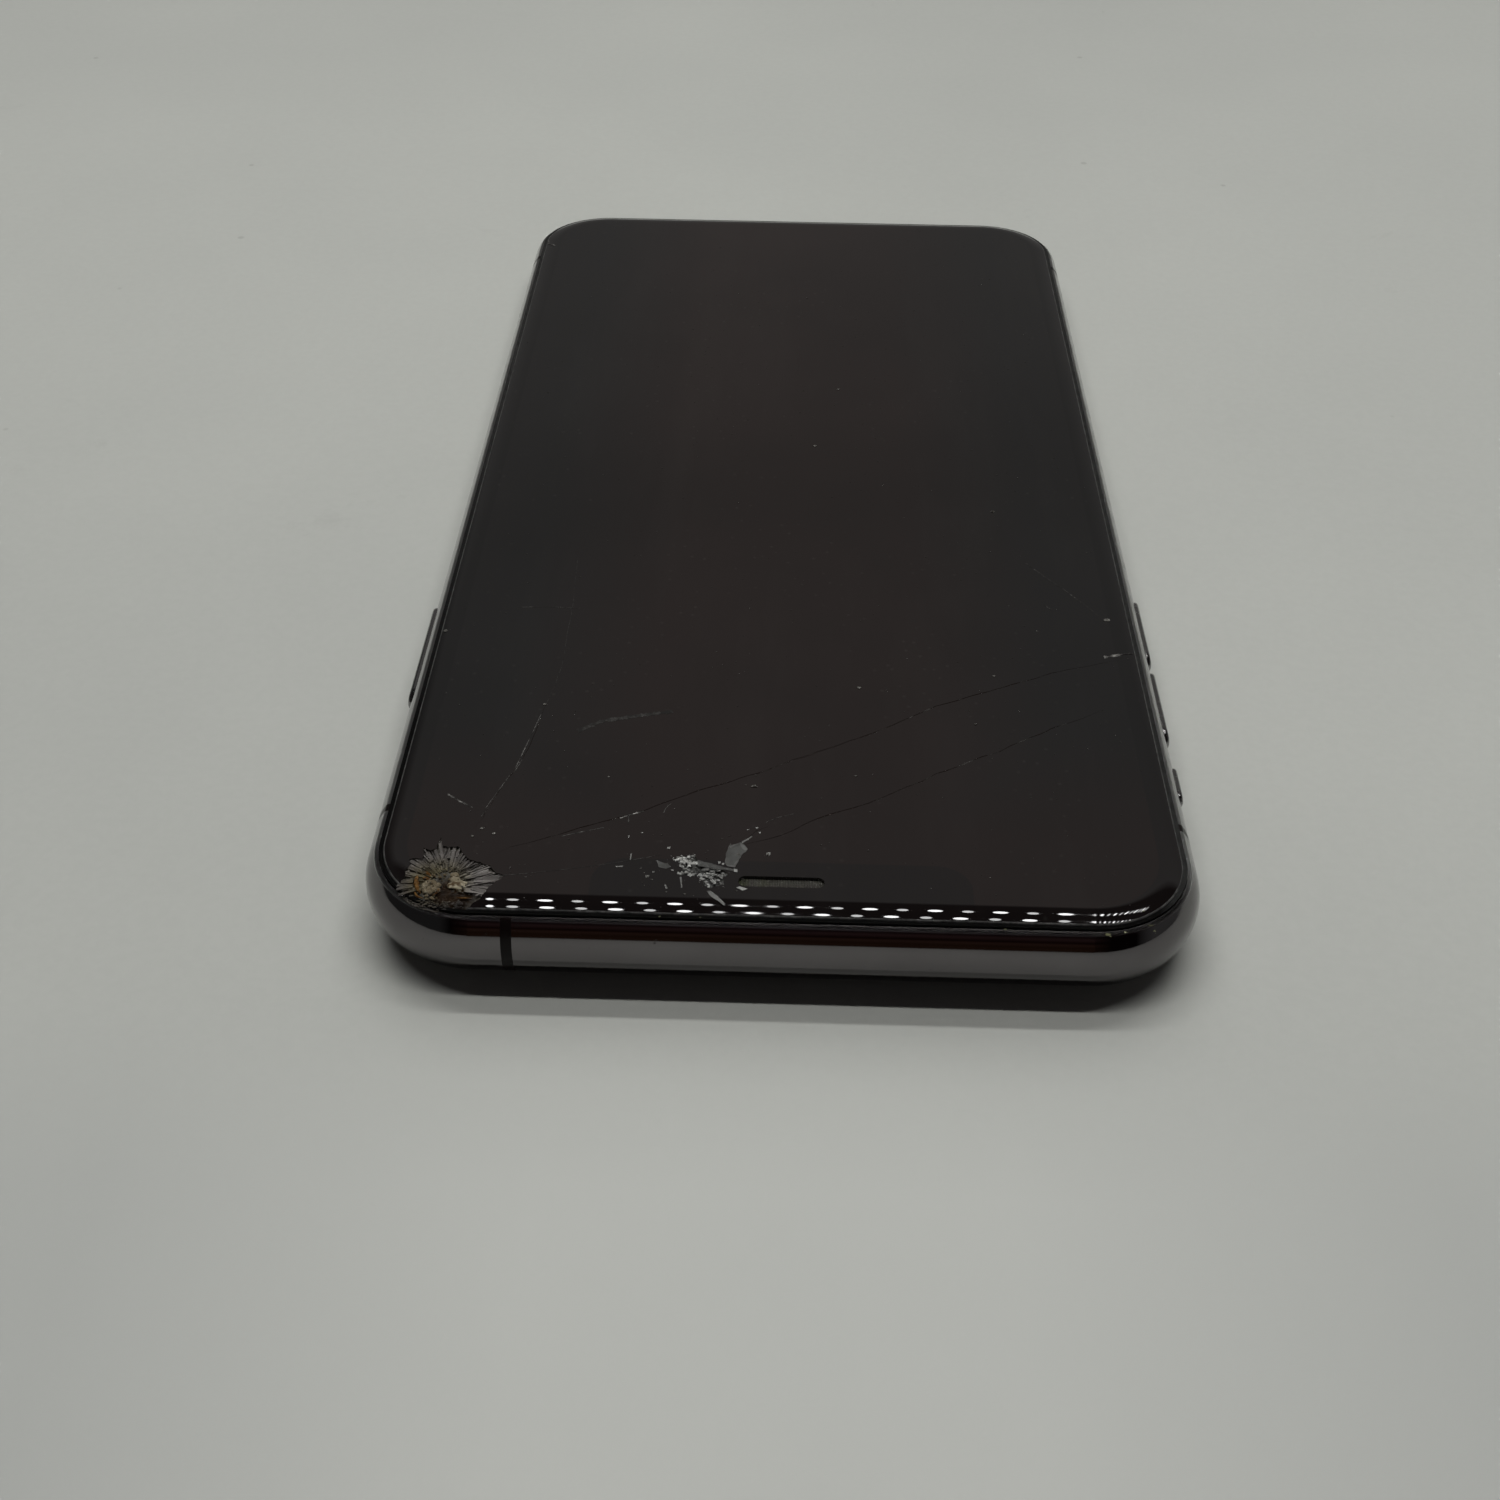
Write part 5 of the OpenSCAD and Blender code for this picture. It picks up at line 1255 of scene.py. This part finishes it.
def band_graph():
    """Polished dark steel, with a duller rim; it is scuffed grey along the sides and at the broken corner,
    and painted near black as shade along its top, at the joint with the frame."""
    graph = Graph("band_steel")
    stain = graph.noise(140.0, 5.0, 0.6)
    grit = graph.noise(1500.0, 5.0, 0.7)
    x, _, z = graph.axes()
    beside = graph.span(graph.math("ABSOLUTE", x), (HALF_W - 3) * MM, (HALF_W - 1.2) * MM)
    at_corner = graph.times(graph.near((*RIM_CORNER, FRAME_TOP), 3.5, 6.5), 0.6)
    beside = graph.math("MAXIMUM", beside, at_corner)
    rim = graph.span(z, RIM_LOW * MM, (RIM_LOW + 0.15) * MM, 0.0, 0.32)
    aside = graph.math("MAXIMUM", graph.span(x, (1 - HALF_W) * MM, (4 - HALF_W) * MM, 1.0, 0.0),
                       graph.span(x, (HALF_W - 4) * MM, (HALF_W - 1) * MM, 0.0, 0.6))
    worn = graph.times(graph.span(graph.noise(420.0, 5.0, 0.65), 0.36, 0.6), aside)
    nick = graph.span(graph.noise(800.0, 4.0, 0.7), 0.66, 0.72)
    color = graph.mix(graph.span(stain, 0.3, 0.7), (0.136, 0.128, 0.131), (0.150, 0.142, 0.145))
    color = graph.mix(graph.times(worn, 0.6), color, (0.19, 0.19, 0.186))
    color = graph.mix(graph.times(nick, 0.5), color, (0.05, 0.045, 0.042))
    rough = graph.math("ADD", graph.times(worn, 0.16), graph.span(stain, 0.3, 0.7, 0.05, 0.08))
    rough = graph.math("ADD", rough, rim)
    color = graph.mix(graph.times(beside, graph.span(rim, 0.0, 0.2)), color, (0.38, 0.38, 0.373))
    # Painted shade: the topmost strip of the band, at the joint with the frame, is made near black, less so at
    # the sides
    grime_and_joint_shade = graph.times(graph.span(beside, 0.0, 1.0, 0.85, 0.1),
                       graph.span(z, JOINT_SHADE_LOW * MM, (JOINT_SHADE_LOW + 0.06) * MM))
    color = graph.mix(grime_and_joint_shade, color, (0.012, 0.011, 0.010))
    rough = graph.math("ADD", rough, graph.times(nick, 0.2))
    return graph.made(grit, 0.00001, 0.12, Base_Color=color, Metallic=1.0, Roughness=rough)


def plastic(name, color, rough, coat=0.0, dirt=0.0, specular=0.5):
    """Moulded plastic, board or film with fine grain and a little dust."""
    graph = Graph(name)
    wear = graph.noise(220.0, 5.0, 0.6)
    fine = graph.noise(5000.0, 2.0, 0.5)
    dust = graph.span(graph.noise(1400.0, 4.0, 0.7), 0.62, 0.75)
    shade = graph.mix(graph.span(wear, 0.35, 0.7), times(color, 0.8), times(color, 1.2))
    shade = graph.mix(graph.times(dust, dirt), shade, (0.2, 0.19, 0.17))
    rough = graph.span(wear, 0.3, 0.7, rough * 0.85, min(1, rough * 1.2))
    return graph.made(fine, 0.00001, 0.2, Base_Color=shade, Roughness=rough, Coat_Weight=coat,
                      Specular_IOR_Level=specular)


def frame_graph():
    """Black plastic round the glass, greyer with dust along one side and towards the far end."""
    graph = Graph("frame_plastic")
    dust = graph.noise(1400.0, 4.0, 0.7)
    x, y, _ = graph.axes()
    dusty = graph.math("MAXIMUM", graph.span(x, (3 - HALF_W) * MM, (5 - HALF_W) * MM, 0.8, 0.0),
                       graph.span(y, 50 * MM, -30 * MM, 0.0, 0.9))
    share = graph.times(dusty, graph.span(dust, 0.3, 0.6, 0.4, 1.0))
    color = graph.mix(share, (0.0028, 0.0027, 0.0026), (0.03, 0.03, 0.029))
    return graph.made(dust, 0.00001, 0.2, Base_Color=color, Roughness=0.8, Specular_IOR_Level=0.06)


def mesh_graph():
    """Dull steel wire, with greenish dirt caught at the crushed end."""
    graph = Graph("mesh_steel")
    wear = graph.noise(1600.0, 3.0, 0.6)
    dirt = graph.noise(900.0, 4.0, 0.6)
    x, _, _ = graph.axes()
    color = graph.mix(graph.span(wear, 0.35, 0.65), (0.045, 0.042, 0.038), (0.072, 0.069, 0.061))
    share = graph.times(graph.span(dirt, 0.4, 0.6), graph.span(x, 0.0, 4 * MM, 0.15, 1.0))
    color = graph.mix(share, color, (0.05, 0.056, 0.030))
    return graph.made(dirt, 0.00001, 0.4, Base_Color=color, Roughness=0.55)


METALS = {
    # colour, roughness, then grain direction, grain, scratches and dirt where they differ
    "button_steel": ((0.24, 0.236, 0.234), 0.22, (1, 1, 4), 0.12, 0.1, 0.2),
    "plate_aluminium": ((0.5, 0.5, 0.51), 0.35),
    "sheet_steel": ((0.42, 0.42, 0.41), 0.32, (6, 1, 1)),
    "motor_can": ((0.5, 0.5, 0.5), 0.3),
    "socket_shell": ((0.32, 0.32, 0.32), 0.3, (1, 1, 1), 0.1, 0.0, 0.4),
    "coil_copper": ((0.55, 0.28, 0.14), 0.35),
    "screw_steel": ((0.25, 0.25, 0.26), 0.25),
}
PLASTICS = {
    # colour, roughness, then coat, dirt and specular level where they differ
    "break_plastic": ((0.0045, 0.0028, 0.0026), 0.3, 0.0, 0.0, 0.12),
    "back_glass": ((0.018, 0.018, 0.019), 0.22, 1.0, 0.1),
    "adhesive": ((0.02, 0.019, 0.018), 0.7),
    "display": ((0.01, 0.009, 0.008), 0.3),
    "gasket_rubber": ((0.004, 0.004, 0.004), 0.8, 0.0, 0.1, 0.1),
    "module_plastic": ((0.03, 0.03, 0.032), 0.45),
    "lens_glass": ((0.006, 0.007, 0.012), 0.06, 1.0),
    "window_glass": ((0.008, 0.008, 0.009), 0.08, 1.0),
    "flash_resin": ((0.62, 0.54, 0.26), 0.35, 0.6),
    "board": ((0.012, 0.035, 0.022), 0.4, 0.3),
    "chip": ((0.015, 0.015, 0.016), 0.5),
    "cell_pouch": ((0.028, 0.028, 0.03), 0.45),
    "tape": ((0.7, 0.7, 0.66), 0.5),
    "flex": ((0.16, 0.075, 0.02), 0.4),
}


def finish_nodes():
    """Makes the materials of the CAD nodes, and gives each node its own."""
    made = {name: metal(name, *values) for name, values in METALS.items()}
    made |= {name: plastic(name, *values) for name, values in PLASTICS.items()}
    made |= {
        "band_steel": band_graph(),
        "cover_glass": glass_graph("cover_glass", (0.0056, 0.0052, 0.0052), 0.05, (0.0095, 0.0060, 0.0054)),
        "crushed_glass": crushed_graph("crushed_glass", (0.03, 0.03, 0.03), (0.25, 0.25, 0.245)),
        "frame_plastic": frame_graph(),
        "mesh_steel": mesh_graph(),
    }
    for obj in NODES.values():
        old = obj.data.materials[0].name.split(".")[0]
        obj.data.materials.clear()
        obj.data.materials.append(made[old])
    return made


def place_piece(mesh, slot, *materials, stands_for=(), body="phone"):
    """Puts a mesh in the scene, under its own name, on the body that it moves with."""
    obj = new_object(mesh.name, mesh, *materials)
    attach(obj, body)
    if stands_for:
        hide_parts(*stands_for)


# ---------------------------------------------------------------- the scene

bpy.context.scene.view_settings.view_transform = "Standard"
make_camera()
make_world()
make_lights()
make_floor()
make_lamp_rows()
finishes = finish_nodes()

border = glass_graph("cover_glass_border", (0.0042, 0.0040, 0.0040), 0.04, (0.0062, 0.0047, 0.0046))
broken = broken_graph()
place_piece(build_cover_glass(), "cover_glass", finishes["cover_glass"], border, broken,
            ground_graph("ground_edge", (0.02, 0.02, 0.02), (0.12, 0.118, 0.114)),
            ground_graph("powdered_wall", (0.025, 0.021, 0.016), (0.12, 0.115, 0.10)),
            stands_for=("cover_glass",))
corner_glass = crushed_graph("crushed_corner", (0.026, 0.022, 0.021), (0.168, 0.156, 0.147),
                             ((31.0, 73.7, TOP), 1.8, 3.6, (0.026, 0.018, 0.008), (0.165, 0.148, 0.092)))
slot_glass = crushed_graph("crushed_slot", (0.024, 0.024, 0.023), (0.52, 0.525, 0.505))
place_piece(build_corner_shards(), "crushed_glass", corner_glass, stands_for=("corner_shards",))
place_piece(build_slot_shards(), "crushed_glass", slot_glass, stands_for=("slot_shards",))
place_piece(build_crater_floor("corner_cavity", CORNER_EDGE, 3, CRATER_DEPTH, 0.16), "display", cavity_graph())
place_piece(build_crater_floor("slot_cavity", SLOT_EDGE, 5, 0.3, 0.18), "display", chalk_graph())
place_piece(build_glue_lumps(), "adhesive", glue_graph())
place_piece(build_rust_streaks(), "adhesive", rust_graph())
edge_crumbs = crushed_graph("edge_crumbs", (0.05, 0.05, 0.035), (0.26, 0.27, 0.15))
place_piece(build_edge_debris(), "crushed_glass", edge_crumbs)
place_piece(build_woven_mesh(), "mesh_steel", finishes["mesh_steel"], stands_for=("earpiece_mesh",))
for button, body in BUTTONS:
    place_piece(build_button(button), "button_steel", finishes["button_steel"], stands_for=(button,),
                body=body)
place_piece(build_scratches(), "crushed_glass", scratch_graph())
place_piece(build_dust(), "crushed_glass", dust_graph())
